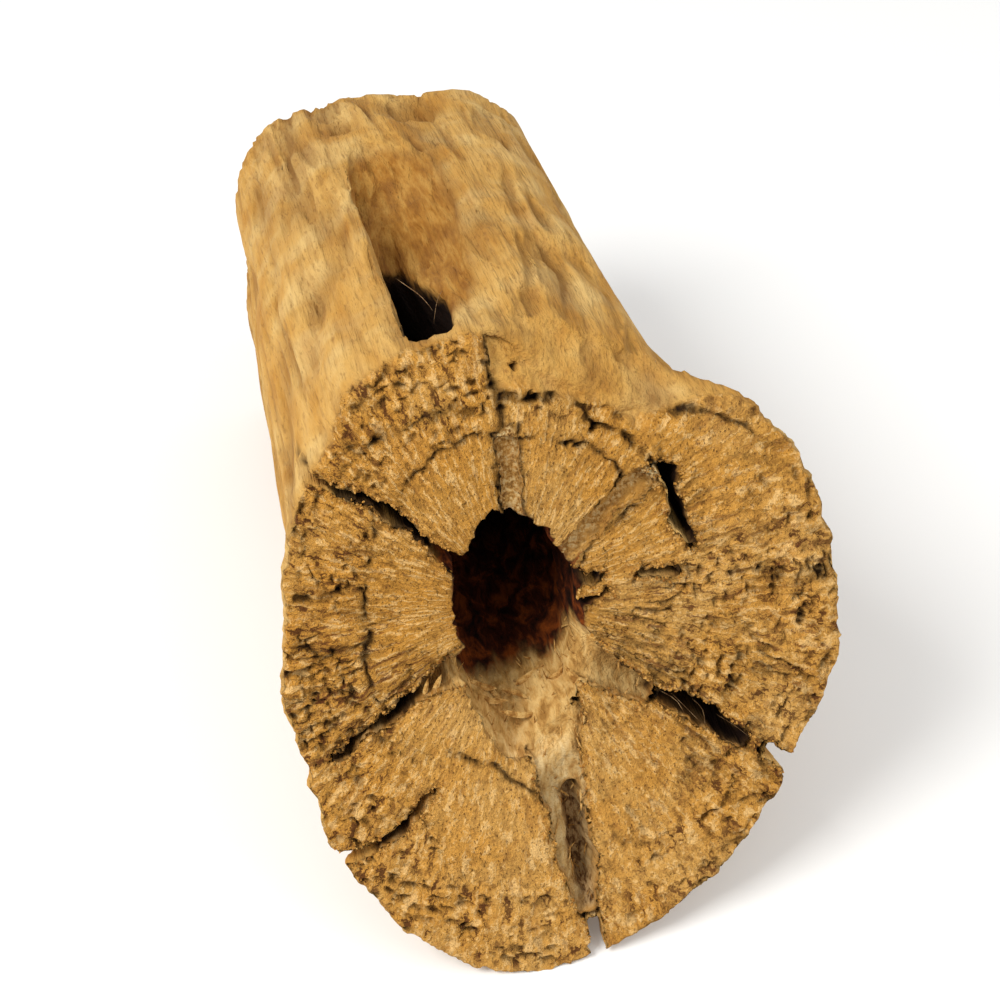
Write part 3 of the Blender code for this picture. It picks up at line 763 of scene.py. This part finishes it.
def spotted(tree, vector, scale, detail=2.0, rough=0.5, twist=0.0, out="Fac"):
    """Noise in a vector's space, with 0 to 1 out."""
    node = tree.nodes.new("ShaderNodeTexNoise")
    for socket, value in zip(("Scale", "Detail", "Roughness", "Distortion"), (scale, detail, rough, twist)):
        node.inputs[socket].default_value = value
    tree.links.new(vector, node.inputs["Vector"])
    return node.outputs[out]


def vectors(tree, operation, a, b=None, out=0):
    node = tree.nodes.new("ShaderNodeVectorMath")
    node.operation = operation
    tree.links.new(a, node.inputs[0])
    if isinstance(b, tuple):
        node.inputs[1].default_value = b
    elif b is not None:
        tree.links.new(b, node.inputs[1])
    return node.outputs[out]


def stretched(tree, vector, by):
    return vectors(tree, "MULTIPLY", vector, by)


def ramp(tree, value, *stops):
    """Colours between stops of (place, colour)."""
    node = tree.nodes.new("ShaderNodeValToRGB")
    while len(node.color_ramp.elements) < len(stops):
        node.color_ramp.elements.new(0.5)
    for element, (place, colour) in zip(node.color_ramp.elements, stops):
        element.position = place
        element.color = (*linear(colour), 1)
    tree.links.new(value, node.inputs["Fac"])
    return node.outputs["Color"]


def range_of(tree, value, low, high, out_low=0.0, out_high=1.0):
    node = tree.nodes.new("ShaderNodeMapRange")
    node.interpolation_type = "SMOOTHSTEP"
    for socket, number_in in zip(("From Min", "From Max", "To Min", "To Max"), (low, high, out_low, out_high)):
        node.inputs[socket].default_value = number_in
    tree.links.new(value, node.inputs["Value"])
    return node.outputs["Result"]


def blend(tree, share, a, b):
    node = tree.nodes.new("ShaderNodeMix")
    node.data_type = "RGBA"
    for socket, value in (("Factor_Float", share), ("A_Color", a), ("B_Color", b)):
        target = next(i for i in node.inputs if i.identifier == socket)
        if isinstance(value, (int, float)):
            target.default_value = value
        elif isinstance(value, tuple):
            target.default_value = (*linear(value), 1)
        else:
            tree.links.new(value, target)
    return next(o for o in node.outputs if o.identifier == "Result_Color")


def linear(colour):
    """A colour as a screen gives it, 0 to 255, as the light it stands for."""
    return tuple(c / 255 / 12.92 if c <= 10.3 else ((c / 255 + 0.055) / 1.055) ** 2.4 for c in colour)


print("a light tan is", [round(c, 3) for c in linear((205, 165, 95))])

# %% Group: places along the grain
RADIAL_ROUND, RADIAL_ALONG = 40.0, 0.42     # cells get longer along the rays than round the rings


def grain_place_group():
    tree, _, end = group("grain_place", [], [("Place", "Vector"), ("Radial", "Vector")])
    coordinates = tree.nodes.new("ShaderNodeTexCoord")
    mapping = tree.nodes.new("ShaderNodeMapping")
    mapping.vector_type = "TEXTURE"
    mapping.inputs["Location"].default_value = tuple(LOG_ORIGIN / 1000)
    mapping.inputs["Rotation"].default_value = (-AXIS_DIP, 0, 0)
    mapping.inputs["Scale"].default_value = (0.001, 0.001, 0.001)
    flat_place = stretched(tree, mapping.outputs["Vector"], (1, 0, 1))
    way = stretched(tree, vectors(tree, "NORMALIZE", flat_place), (RADIAL_ROUND,) * 3)
    length = vectors(tree, "LENGTH", flat_place, out="Value")
    outward = tree.nodes.new("ShaderNodeCombineXYZ")
    join(
        tree, (coordinates.outputs["Object"], mapping.inputs["Vector"]),
        (mapping.outputs["Vector"], end.inputs["Place"]),
        (maths(tree, "MULTIPLY", length, RADIAL_ALONG), outward.inputs["Y"]),
        (vectors(tree, "ADD", way, outward.outputs[0]), end.inputs["Radial"]),
    )
    return tree


# %% Group: end grain
COLOUR_AND_HEIGHT = [("Color", "Color"), ("Height", "Float")]


def scattered(tree, vector, scale):
    """Distance to the nearest of scattered cells."""
    node = tree.nodes.new("ShaderNodeTexVoronoi")
    node.inputs["Scale"].default_value = scale
    tree.links.new(vector, node.inputs["Vector"])
    return node.outputs["Distance"]


def end_grain_group():
    tree, start, end = group(
        "end_grain",
        [("Place", "Vector"), ("Radial", "Vector"), ("Tone", "Float", 0.5), ("Coarse", "Float", 0.5),
         ("Torn", "Float", 0.0)],
        COLOUR_AND_HEIGHT,
    )
    place, radial = start.outputs["Place"], start.outputs["Radial"]
    coarse, torn = start.outputs["Coarse"], start.outputs["Torn"]
    shake = stretched(tree, spotted(tree, place, 0.9, out="Color"), (1.2, 1.2, 1.2))
    shaken = vectors(tree, "ADD", radial, shake)
    ragged = spotted(tree, stretched(tree, shaken, (1, 0.8, 1)), 0.8, 3.0, 0.7, 0.4)
    pores = scattered(tree, stretched(tree, place, (1.3, 0.6, 0.8)), 1.25)
    fine = spotted(tree, place, 2.2, 2.0, 0.6)
    lumps = spotted(tree, place, 0.55, 3.0, 0.65)
    patch = spotted(tree, place, 0.11, 3.0, 0.6)
    streaks = spotted(tree, stretched(tree, shaken, (1, 0.3, 1)), 1.0, 3.0, 0.6)

    base = ramp(tree, start.outputs["Tone"], (0.0, (176, 118, 44)), (0.5, (190, 137, 60)), (1.0, (204, 156, 84)))
    base = blend(tree, range_of(tree, patch, 0.42, 0.62, 0.0, 0.5), base, (198, 138, 52))
    # Holes and pores: the low parts of the bump, darkened below as painted shade.
    holes = range_of(tree, ragged, 0.475, 0.37)
    specks = maths(tree, "MULTIPLY", range_of(tree, pores, 0.32, 0.16), range_of(tree, fine, 0.4, 0.55))
    pitted = blend(tree, coarse, added(tree, maths(tree, "MULTIPLY", specks, 0.6), holes, 0.3), holes)
    # Painted highlight on the raised crumbs.
    colour = blend(tree, range_of(tree, ragged, 0.51, 0.63, 0, 0.7), base, (232, 190, 124))
    # Painted shade in the low lumps.
    colour = blend(tree, range_of(tree, lumps, 0.46, 0.32, 0, 0.35), colour, (150, 98, 40))
    colour = blend(tree, maths(tree, "MULTIPLY", pitted, 0.9), colour, (76, 38, 15))
    # Dark low streaks: partly the wood's own reddish lines, partly painted shade in their trenches.
    lines = maths(tree, "MULTIPLY", range_of(tree, streaks, 0.47, 0.37), added(tree, 0.16, torn, 0.6))
    colour = blend(tree, lines, colour, (96, 50, 24))
    height = maths(tree, "MULTIPLY", ragged, 0.9)
    for part, share in ((fine, 0.32), (lumps, 0.7), (specks, -0.22), (streaks, added(tree, 0.3, torn, 0.7))):
        height = added(tree, height, part, share)
    join(tree, (colour, end.inputs["Color"]), (height, end.inputs["Height"]))
    return tree


# %% Group: long grain of the sides


def long_grain_group():
    tree, start, end = group(
        "long_grain", [("Place", "Vector"), ("Groove", "Float", 0.0)], COLOUR_AND_HEIGHT,
    )
    place = start.outputs["Place"]
    fibres = spotted(tree, stretched(tree, place, (1, 0.05, 1)), 0.9, 3.0, 0.6)
    lumps = spotted(tree, stretched(tree, place, (1, 0.22, 1)), 0.16, 3.0, 0.55)
    mottle = spotted(tree, place, 0.06, 3.0, 0.5)
    colour = ramp(tree, lumps, (0.34, (168, 118, 53)), (0.48, (190, 146, 76)), (0.64, (207, 169, 101)))
    warm_and_pale = ramp(tree, mottle, (0.38, (182, 130, 54)), (0.5, (193, 148, 77)), (0.62, (206, 173, 112)))
    colour = blend(tree, 0.5, colour, warm_and_pale)
    colour = blend(tree, range_of(tree, fibres, 0.5, 0.34, 0, 0.35), colour, (146, 104, 54))
    flecks = range_of(tree, spotted(tree, stretched(tree, place, (1, 0.25, 1)), 1.2, 2.0, 0.6), 0.42, 0.3)
    colour = blend(tree, maths(tree, "MULTIPLY", flecks, 0.4), colour, (122, 84, 44))
    # Painted shade in the grooves of the side.
    colour = blend(tree, maths(tree, "MULTIPLY", start.outputs["Groove"], 0.8), colour, (118, 78, 34))
    join(tree, (colour, end.inputs["Color"]), (fibres, end.inputs["Height"]))
    return tree


# %% Group: the inside of the hollow, red-brown with painted shade


def inside_group():
    tree, start, end = group("inside", [("Place", "Vector")], [("Color", "Color")])
    place = start.outputs["Place"]
    web = spotted(tree, stretched(tree, place, (1, 0.6, 1)), 0.28, 3.0, 0.6, 0.6)
    # Red-brown web of the rotted wood, its darkest stops painted shade of the hollow.
    colour = ramp(tree, web, (0.36, (22, 8, 3)), (0.5, (66, 26, 8)), (0.66, (128, 62, 18)))
    tree.links.new(colour, end.inputs["Color"])
    return tree


GRAIN_PLACE, END_GRAIN = grain_place_group(), end_grain_group()
LONG_GRAIN, INSIDE = long_grain_group(), inside_group()
print("groups", [t.name for t in (GRAIN_PLACE, END_GRAIN, LONG_GRAIN, INSIDE)])

# %% The wood's material
BUMP_DISTANCE, WOOD_ROUGHNESS, WOOD_SHINE = 0.0012, 0.86, 0.12
material = bpy.data.materials.new("weathered_driftwood")
material.use_nodes = True
tree = material.node_tree
shader = tree.nodes["Principled BSDF"]


def placed_group(kind, **links):
    node = tree.nodes.new("ShaderNodeGroup")
    node.node_tree = kind
    for name, source in links.items():
        tree.links.new(source, node.inputs[name])
    return node


def point_number(name):
    node = tree.nodes.new("ShaderNodeAttribute")
    node.attribute_name = name
    return node.outputs["Fac"]


grain = placed_group(GRAIN_PLACE)
place, radial = grain.outputs["Place"], grain.outputs["Radial"]
ends = placed_group(
    END_GRAIN, Place=place, Radial=radial, Tone=point_number("tone"), Coarse=point_number("coarse"),
    Torn=point_number("torn"),
)
sides = placed_group(LONG_GRAIN, Place=place, Groove=point_number("groove"))
insides = placed_group(INSIDE, Place=place)


def flecks(stretch, *noise_values):
    return spotted(tree, stretched(tree, place, stretch), *noise_values)


scoop_flecks = flecks((1, 0.14, 1), 0.4, 3.0, 0.6, 0.1)
scoop_colour = ramp(tree, scoop_flecks, (0.36, (130, 80, 24)), (0.5, (160, 108, 40)), (0.64, (184, 136, 64)))
fibre_flecks = flecks((1, 0.5, 0.5), 0.5, 4.0, 0.6, 0.5)
fibre_colour = ramp(tree, fibre_flecks, (0.32, (146, 104, 50)), (0.46, (186, 142, 78)), (0.62, (210, 172, 108)))
# Painted light: paler fibres for the channel below the mouth, standing in for the light on it.
painted_light_fibre_colour = ramp(tree, fibre_flecks, (0.32, (176, 130, 70)), (0.46, (216, 174, 108)), (0.62, (236, 204, 146)))
brown_flecks = flecks((1.2, 0.4, 0.5), 0.9, 4.0, 0.65, 0.4)
brown_colour = ramp(tree, brown_flecks, (0.38, (78, 46, 24)), (0.47, (152, 112, 68)), (0.56, (214, 176, 122)))
grey_flecks = spotted(tree, place, 1.2, 3.0, 0.65)
grey_colour = ramp(tree, grey_flecks, (0.38, (92, 56, 24)), (0.48, (170, 124, 64)), (0.62, (212, 186, 134)))
# The channel's fibres take the painted light.
fibre_colour = blend(tree, point_number("channel_painted_light"), fibre_colour, painted_light_fibre_colour)
fibre_colour = blend(tree, point_number("brown_fibres"), fibre_colour, brown_colour)

across_grain = maths(tree, "MAXIMUM", point_number("on_cut"), point_number("on_far_end"))
colour = sides.outputs["Color"]
for share, finish in (
    (maths(tree, "MULTIPLY", point_number("in_opening"), 0.75), scoop_colour),
    (point_number("in_hollow"), insides.outputs["Color"]),
    (across_grain, ends.outputs["Color"]),
    # Crack walls a darker brown: partly the wood's own brown, partly painted shade.
    (point_number("in_crack"), blend(tree, 0.5, ends.outputs["Color"], (110, 66, 26))),
    (point_number("pale_floor"), fibre_colour),
    (point_number("grey"), grey_colour),
    # The near-black of the painted shade in pits, cracks, slots and the hollow.
    (point_number("painted_shade"), (22, 9, 3)),
):
    colour = blend(tree, share, colour, finish)
tree.links.new(colour, shader.inputs["Base Color"])

height = blend(tree, across_grain, sides.outputs["Height"], ends.outputs["Height"])
bump = tree.nodes.new("ShaderNodeBump")
bump.inputs["Strength"].default_value = 1.0
bump.inputs["Distance"].default_value = BUMP_DISTANCE
join(tree, (height, bump.inputs["Height"]), (bump.outputs["Normal"], shader.inputs["Normal"]))
shader.inputs["Roughness"].default_value = WOOD_ROUGHNESS
shader.inputs["Specular IOR Level"].default_value = WOOD_SHINE

wood.data.materials.clear()
wood.data.materials.append(material)
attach(wood, "root")
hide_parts("driftwood_log")

# %% [markdown]
# ## Splinters and stray hairs
# The saw and the rot have left pointed flakes standing on the floor of the mouth and hanging from the
# wedges, and a few hairs of root bark span the openings. Each is placed where the photograph shows it, on
# the wood that carries it. A flake is a run of diamond sections that taper to both ends, and a hair is the
# same with a round section, so one helper makes both.

# %% A tapered strand


def strand(run, width, thick, sides, rows=7):
    """Vertices and faces of a closed strand along a smooth run of places in the wood, in millimetres."""
    run = np.array(run, dtype=float)
    at = np.linspace(0, len(run) - 1, rows)
    path = np.stack([np.interp(at, range(len(run)), run[:, i]) for i in range(3)], axis=1)
    path[1:-1] = 0.25 * path[:-2] + 0.5 * path[1:-1] + 0.25 * path[2:]
    along = np.gradient(path, axis=0)
    along /= np.linalg.norm(along, axis=1)[:, None]
    across = np.cross(along, np.array([0.2, 0.5, -0.84]))
    across /= np.linalg.norm(across, axis=1)[:, None]
    upward = np.cross(across, along)
    taper = np.sin(np.pi * np.linspace(0.12, 1.0, rows)) ** 0.7
    vertices, faces = [path[0]], []
    for i in range(1, rows - 1):
        for k in range(sides):
            turn = 2 * math.pi * k / sides
            off = 0.5 * width * math.cos(turn) * across[i] + 0.5 * thick * math.sin(turn) * upward[i]
            vertices.append(path[i] + taper[i] * off)
    vertices.append(path[-1])
    last = len(vertices) - 1
    for k in range(sides):
        n = (k + 1) % sides
        faces.append((0, 1 + n, 1 + k))
        for i in range(rows - 3):
            a, b = 1 + i * sides, 1 + (i + 1) * sides
            faces.append((a + k, a + n, b + n, b + k))
        faces.append((last - sides + k, last - sides + n, last))
    return np.array(vertices), faces


def closed_mesh(name, points, faces):
    """A mesh of points in metres, with its faces turned outwards."""
    mesh = bpy.data.meshes.new(name)
    mesh.from_pydata(points.tolist(), [], faces)
    bm = bmesh.new()
    bm.from_mesh(mesh)
    bmesh.ops.recalc_face_normals(bm, faces=bm.faces)
    bm.to_mesh(mesh)
    bm.free()
    return mesh


def strands_object(name, strands):
    """One object of many strands, each (run, width, thickness, sides)."""
    points, faces = [], []
    for run, width, thick, sides in strands:
        made, made_faces = strand(run, width, thick, sides)
        faces += [tuple(len(points) + i for i in face) for face in made_faces]
        points += list(made)
    return shown(name, closed_mesh(name, in_world(np.array(points)), faces))


def behind_cut(u, v, depth):
    """A place this far behind the saw cut."""
    return u, v, TAN_LEAN * v + depth / math.cos(SAW_LEAN)


# %% Splinters
SPLINTERS = [       # run of (u, v, depth behind the cut), width, thickness
    ([(12.6, -19.0, 0.9), (10.6, -16.4, 0.7), (8.7, -14.1, 1.8)], 1.5, 0.7),
    ([(12.2, -19.2, 1.0), (10.9, -17.7, 1.0), (9.6, -16.0, 1.7)], 1.3, 0.6),
    ([(-18.7, -16.4, 1.8), (-18.4, -14.6, 1.0), (-17.6, -12.6, 1.4)], 1.0, 0.6),
    ([(-16.9, -16.5, 2.4), (-16.2, -14.2, 1.2), (-15.0, -12.4, 1.6)], 1.2, 0.6),
    ([(-20.9, -15.2, 1.6), (-20.6, -14.2, 1.0), (-19.4, -13.2, 1.2)], 0.7, 0.5),
    ([(0.3, -23.6, 13.2), (3.6, -21.8, 12.6), (6.8, -20.0, 12.8)], 1.5, 0.7),
    ([(5.2, -21.2, 11.2), (5.6, -22.2, 9.2), (5.8, -22.9, 7.8)], 0.9, 0.5),
    ([(-2.4, -23.6, 12.6), (0.2, -23.4, 10.6), (2.4, -24.0, 9.0)], 1.2, 0.6),
    ([(-4.6, -22.6, 13.4), (-4.0, -23.4, 11.2), (-2.6, -24.2, 9.4)], 1.0, 0.5),
    ([(2.4, -23.0, 11.0), (5.4, -23.4, 8.4), (8.2, -24.2, 6.0)], 1.0, 0.5),
    ([(-9.5, -19.6, 11.0), (-6.5, -21.6, 10.8), (-3.2, -22.8, 11.6)], 1.6, 0.6),
    ([(-8.2, -21.4, 8.4), (-5.2, -23.0, 8.0), (-1.6, -23.6, 8.6)], 1.3, 0.6),
    ([(-4.0, -24.2, 6.6), (0.4, -25.6, 6.2), (4.6, -26.0, 7.0)], 1.2, 0.5),
    ([(6.6, -21.0, 9.6), (8.6, -19.6, 8.0), (9.4, -17.6, 7.4)], 1.2, 0.6),
]
splinters = strands_object(
    "splinters", [([behind_cut(*place) for place in run], width, thick, 4) for run, width, thick in SPLINTERS],
)
print("splinters:", len(splinters.data.polygons), "faces")

# %% Stray hairs
HAIRS = [           # run of (u, v, s), thickness
    ([(-13.4, 50.6, 43.6), (-11.9, 50.4, 39.3), (-10.3, 50.2, 35.7), (-9.1, 49.9, 31.5), (-8.5, 49.6, 26.7)], 0.14),
    ([(-2.9, 45.3, 49.6), (-5.8, 47.2, 39.4), (-7.9, 49.3, 28.2), (-9.9, 51.3, 16.6)], 0.11),
    ([behind_cut(26.6, -20.8, 0.8), behind_cut(30.8, -24.4, 2), behind_cut(32.6, -29.2, 0.8)], 0.11),
    ([behind_cut(33.2, -23.6, 1), behind_cut(35.9, -27.2, 2.6), behind_cut(35.6, -30.2, 0.8)], 0.1),
    ([behind_cut(37.6, -27.2, 0.8), behind_cut(41.5, -30.7, 2), behind_cut(44.7, -33.3, 0.9)], 0.1),
    ([behind_cut(29.2, -22.0, 1), behind_cut(31.9, -25.9, 3), behind_cut(36.6, -31.0, 1)], 0.1),
    ([behind_cut(-13.2, -5.6, 0.2), behind_cut(-12.0, -7.8, 1.6), behind_cut(-11.6, -10.2, 2.6)], 0.16),
]
hairs = strands_object("stray_hairs", [(run, thick, thick, 5) for run, thick in HAIRS])
print("stray hairs:", len(hairs.data.polygons), "faces")

# %% [markdown]
# ## Loose fibres and crumbs
# The floor of the mouth and the channel below it are thick with torn fibres, and crumbs of end grain cling
# to the edges of the cracks. Both are small pieces that repeat over a surface, so one tree of geometry
# nodes places them: it scatters points where a number on the wood is high, and turns and scales a copy of
# a small piece on each.

# %% Tree: pieces scattered over the wood


def scatter_tree():
    tree, start, end = group(
        "scattered_pieces",
        [("Geometry", "Geometry"), ("Piece", "Object"), ("Number", "String", ""), ("Density", "Float", 1000.0),
         ("Seed", "Int", 0), ("Least Turn", "Vector"), ("Most Turn", "Vector"), ("Smallest", "Float", 0.6),
         ("Largest", "Float", 1.4), ("Material", "Material")],
        [("Geometry", "Geometry")], "Geometry",
    )
    given = start.outputs
    share = tree.nodes.new("GeometryNodeInputNamedAttribute")
    points = tree.nodes.new("GeometryNodeDistributePointsOnFaces")
    turn, size = tree.nodes.new("FunctionNodeRandomValue"), tree.nodes.new("FunctionNodeRandomValue")
    turn.data_type = "FLOAT_VECTOR"
    piece = tree.nodes.new("GeometryNodeObjectInfo")
    put = tree.nodes.new("GeometryNodeInstanceOnPoints")
    real = tree.nodes.new("GeometryNodeRealizeInstances")
    finish = tree.nodes.new("GeometryNodeSetMaterial")
    join(
        tree, (given["Number"], share.inputs["Name"]), (given["Geometry"], points.inputs["Mesh"]),
        (maths(tree, "MULTIPLY", given["Density"], share.outputs["Attribute"]), points.inputs["Density"]),
        (given["Seed"], points.inputs["Seed"]), (given["Least Turn"], turn.inputs["Min"]),
        (given["Most Turn"], turn.inputs["Max"]), (given["Smallest"], size.inputs[2]),
        (given["Largest"], size.inputs[3]), (given["Piece"], piece.inputs["Object"]),
        (points.outputs["Points"], put.inputs["Points"]), (piece.outputs["Geometry"], put.inputs["Instance"]),
        (turn.outputs["Value"], put.inputs["Rotation"]), (size.outputs[1], put.inputs["Scale"]),
        (put.outputs["Instances"], real.inputs["Geometry"]), (real.outputs["Geometry"], finish.inputs["Geometry"]),
        (given["Material"], finish.inputs["Material"]), (finish.outputs["Geometry"], end.inputs["Geometry"]),
    )
    return tree


def scatter(name, values):
    """Scatters a small piece over the wood, and returns the result as a plain mesh object."""
    made = shown(name, wood.data.copy())
    modifier = made.modifiers.new("scatter", "NODES")
    modifier.node_group = SCATTER
    for item in SCATTER.interface.items_tree:
        if item.in_out == "INPUT" and item.name in values:
            modifier[item.identifier] = values[item.name]
    made.data = mesh = plain_mesh(made)
    mesh.calc_loop_triangles()
    print(name, len(mesh.loop_triangles), "triangles")
    return made


SCATTER = scatter_tree()

# %% The small pieces that are scattered


def small_piece(name, points, faces):
    """A piece in millimetres, kept out of the scene."""
    return bpy.data.objects.new(name, closed_mesh(name, np.array(points) / 1000, faces))


fibre_run = [(0, -0.3, -2.6), (0.15, 0.35, -1.2), (0.0, 0.6, 0.4), (-0.3, 0.35, 2.6)]
fibre = small_piece("one_fibre", *strand(fibre_run, 0.5, 0.3, 3, rows=6))
ball = bmesh.new()
bmesh.ops.create_icosphere(ball, subdivisions=1, radius=0.5)
lumpy = [tuple(c * (0.75 + 0.5 * ((7 * i) % 5) / 4) for c in vertex.co) for i, vertex in enumerate(ball.verts)]
flattened = [(x, y * 0.8, z * 0.55) for x, y, z in lumpy]
crumb = small_piece("one_crumb", flattened, [[point.index for point in face.verts] for face in ball.faces])
ball.free()
print("faces of a fibre and a crumb:", len(fibre.data.polygons), len(crumb.data.polygons))

# %% Their finishes
FIBRE_ROUGHNESS, FIBRE_BUMP = 0.85, 0.0004


def torn_wood(name, low_colour, mid_colour, high_colour):
    """Bare torn wood for small pieces: mottled, dull."""
    made = bpy.data.materials.new(name)
    made.use_nodes = True
    nodes = made.node_tree
    bare = nodes.nodes["Principled BSDF"]
    grain = nodes.nodes.new("ShaderNodeGroup")
    grain.node_tree = GRAIN_PLACE
    mottled = spotted(nodes, grain.outputs["Place"], 0.7, 3.0, 0.6)
    colour = ramp(nodes, mottled, (0.36, low_colour), (0.5, mid_colour), (0.64, high_colour))
    bump = nodes.nodes.new("ShaderNodeBump")
    bump.inputs["Distance"].default_value = FIBRE_BUMP
    join(
        nodes, (colour, bare.inputs["Base Color"]), (bump.outputs["Normal"], bare.inputs["Normal"]),
        (spotted(nodes, grain.outputs["Place"], 3.0, 2.0), bump.inputs["Height"]),
    )
    bare.inputs["Roughness"].default_value = FIBRE_ROUGHNESS
    bare.inputs["Specular IOR Level"].default_value = WOOD_SHINE
    return made


PALE_FIBRE = torn_wood("pale_torn_fibre", (138, 94, 42), (184, 138, 74), (208, 168, 102))
BROWN_CRUMB = torn_wood("brown_crumb", (128, 82, 34), (182, 130, 58), (206, 160, 90))
HAIR = torn_wood("hair", (84, 56, 34), (134, 100, 66), (176, 146, 106))

# %% Scattering them
fibres = scatter("loose_fibres", {
    "Piece": fibre, "Number": "pale_floor", "Density": 110000.0, "Seed": 3, "Least Turn": (-0.7, -0.6, -1.4),
    "Most Turn": (0.4, 0.6, 1.4), "Smallest": 0.4, "Largest": 1.2, "Material": PALE_FIBRE,
})
crumbs = scatter("crumbs_by_cracks", {
    "Piece": crumb, "Number": "ragged", "Density": 1200000.0, "Seed": 5, "Least Turn": (0.0, 0.0, 0.0),
    "Most Turn": (6.28, 6.28, 6.28), "Smallest": 0.3, "Largest": 1.05, "Material": BROWN_CRUMB,
})
for piece, finish in ((splinters, PALE_FIBRE), (hairs, HAIR)):
    piece.data.materials.append(finish)
for piece in (splinters, hairs, fibres, crumbs):
    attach(piece, "root")
for unused in (fibre, crumb):
    bpy.data.objects.remove(unused)
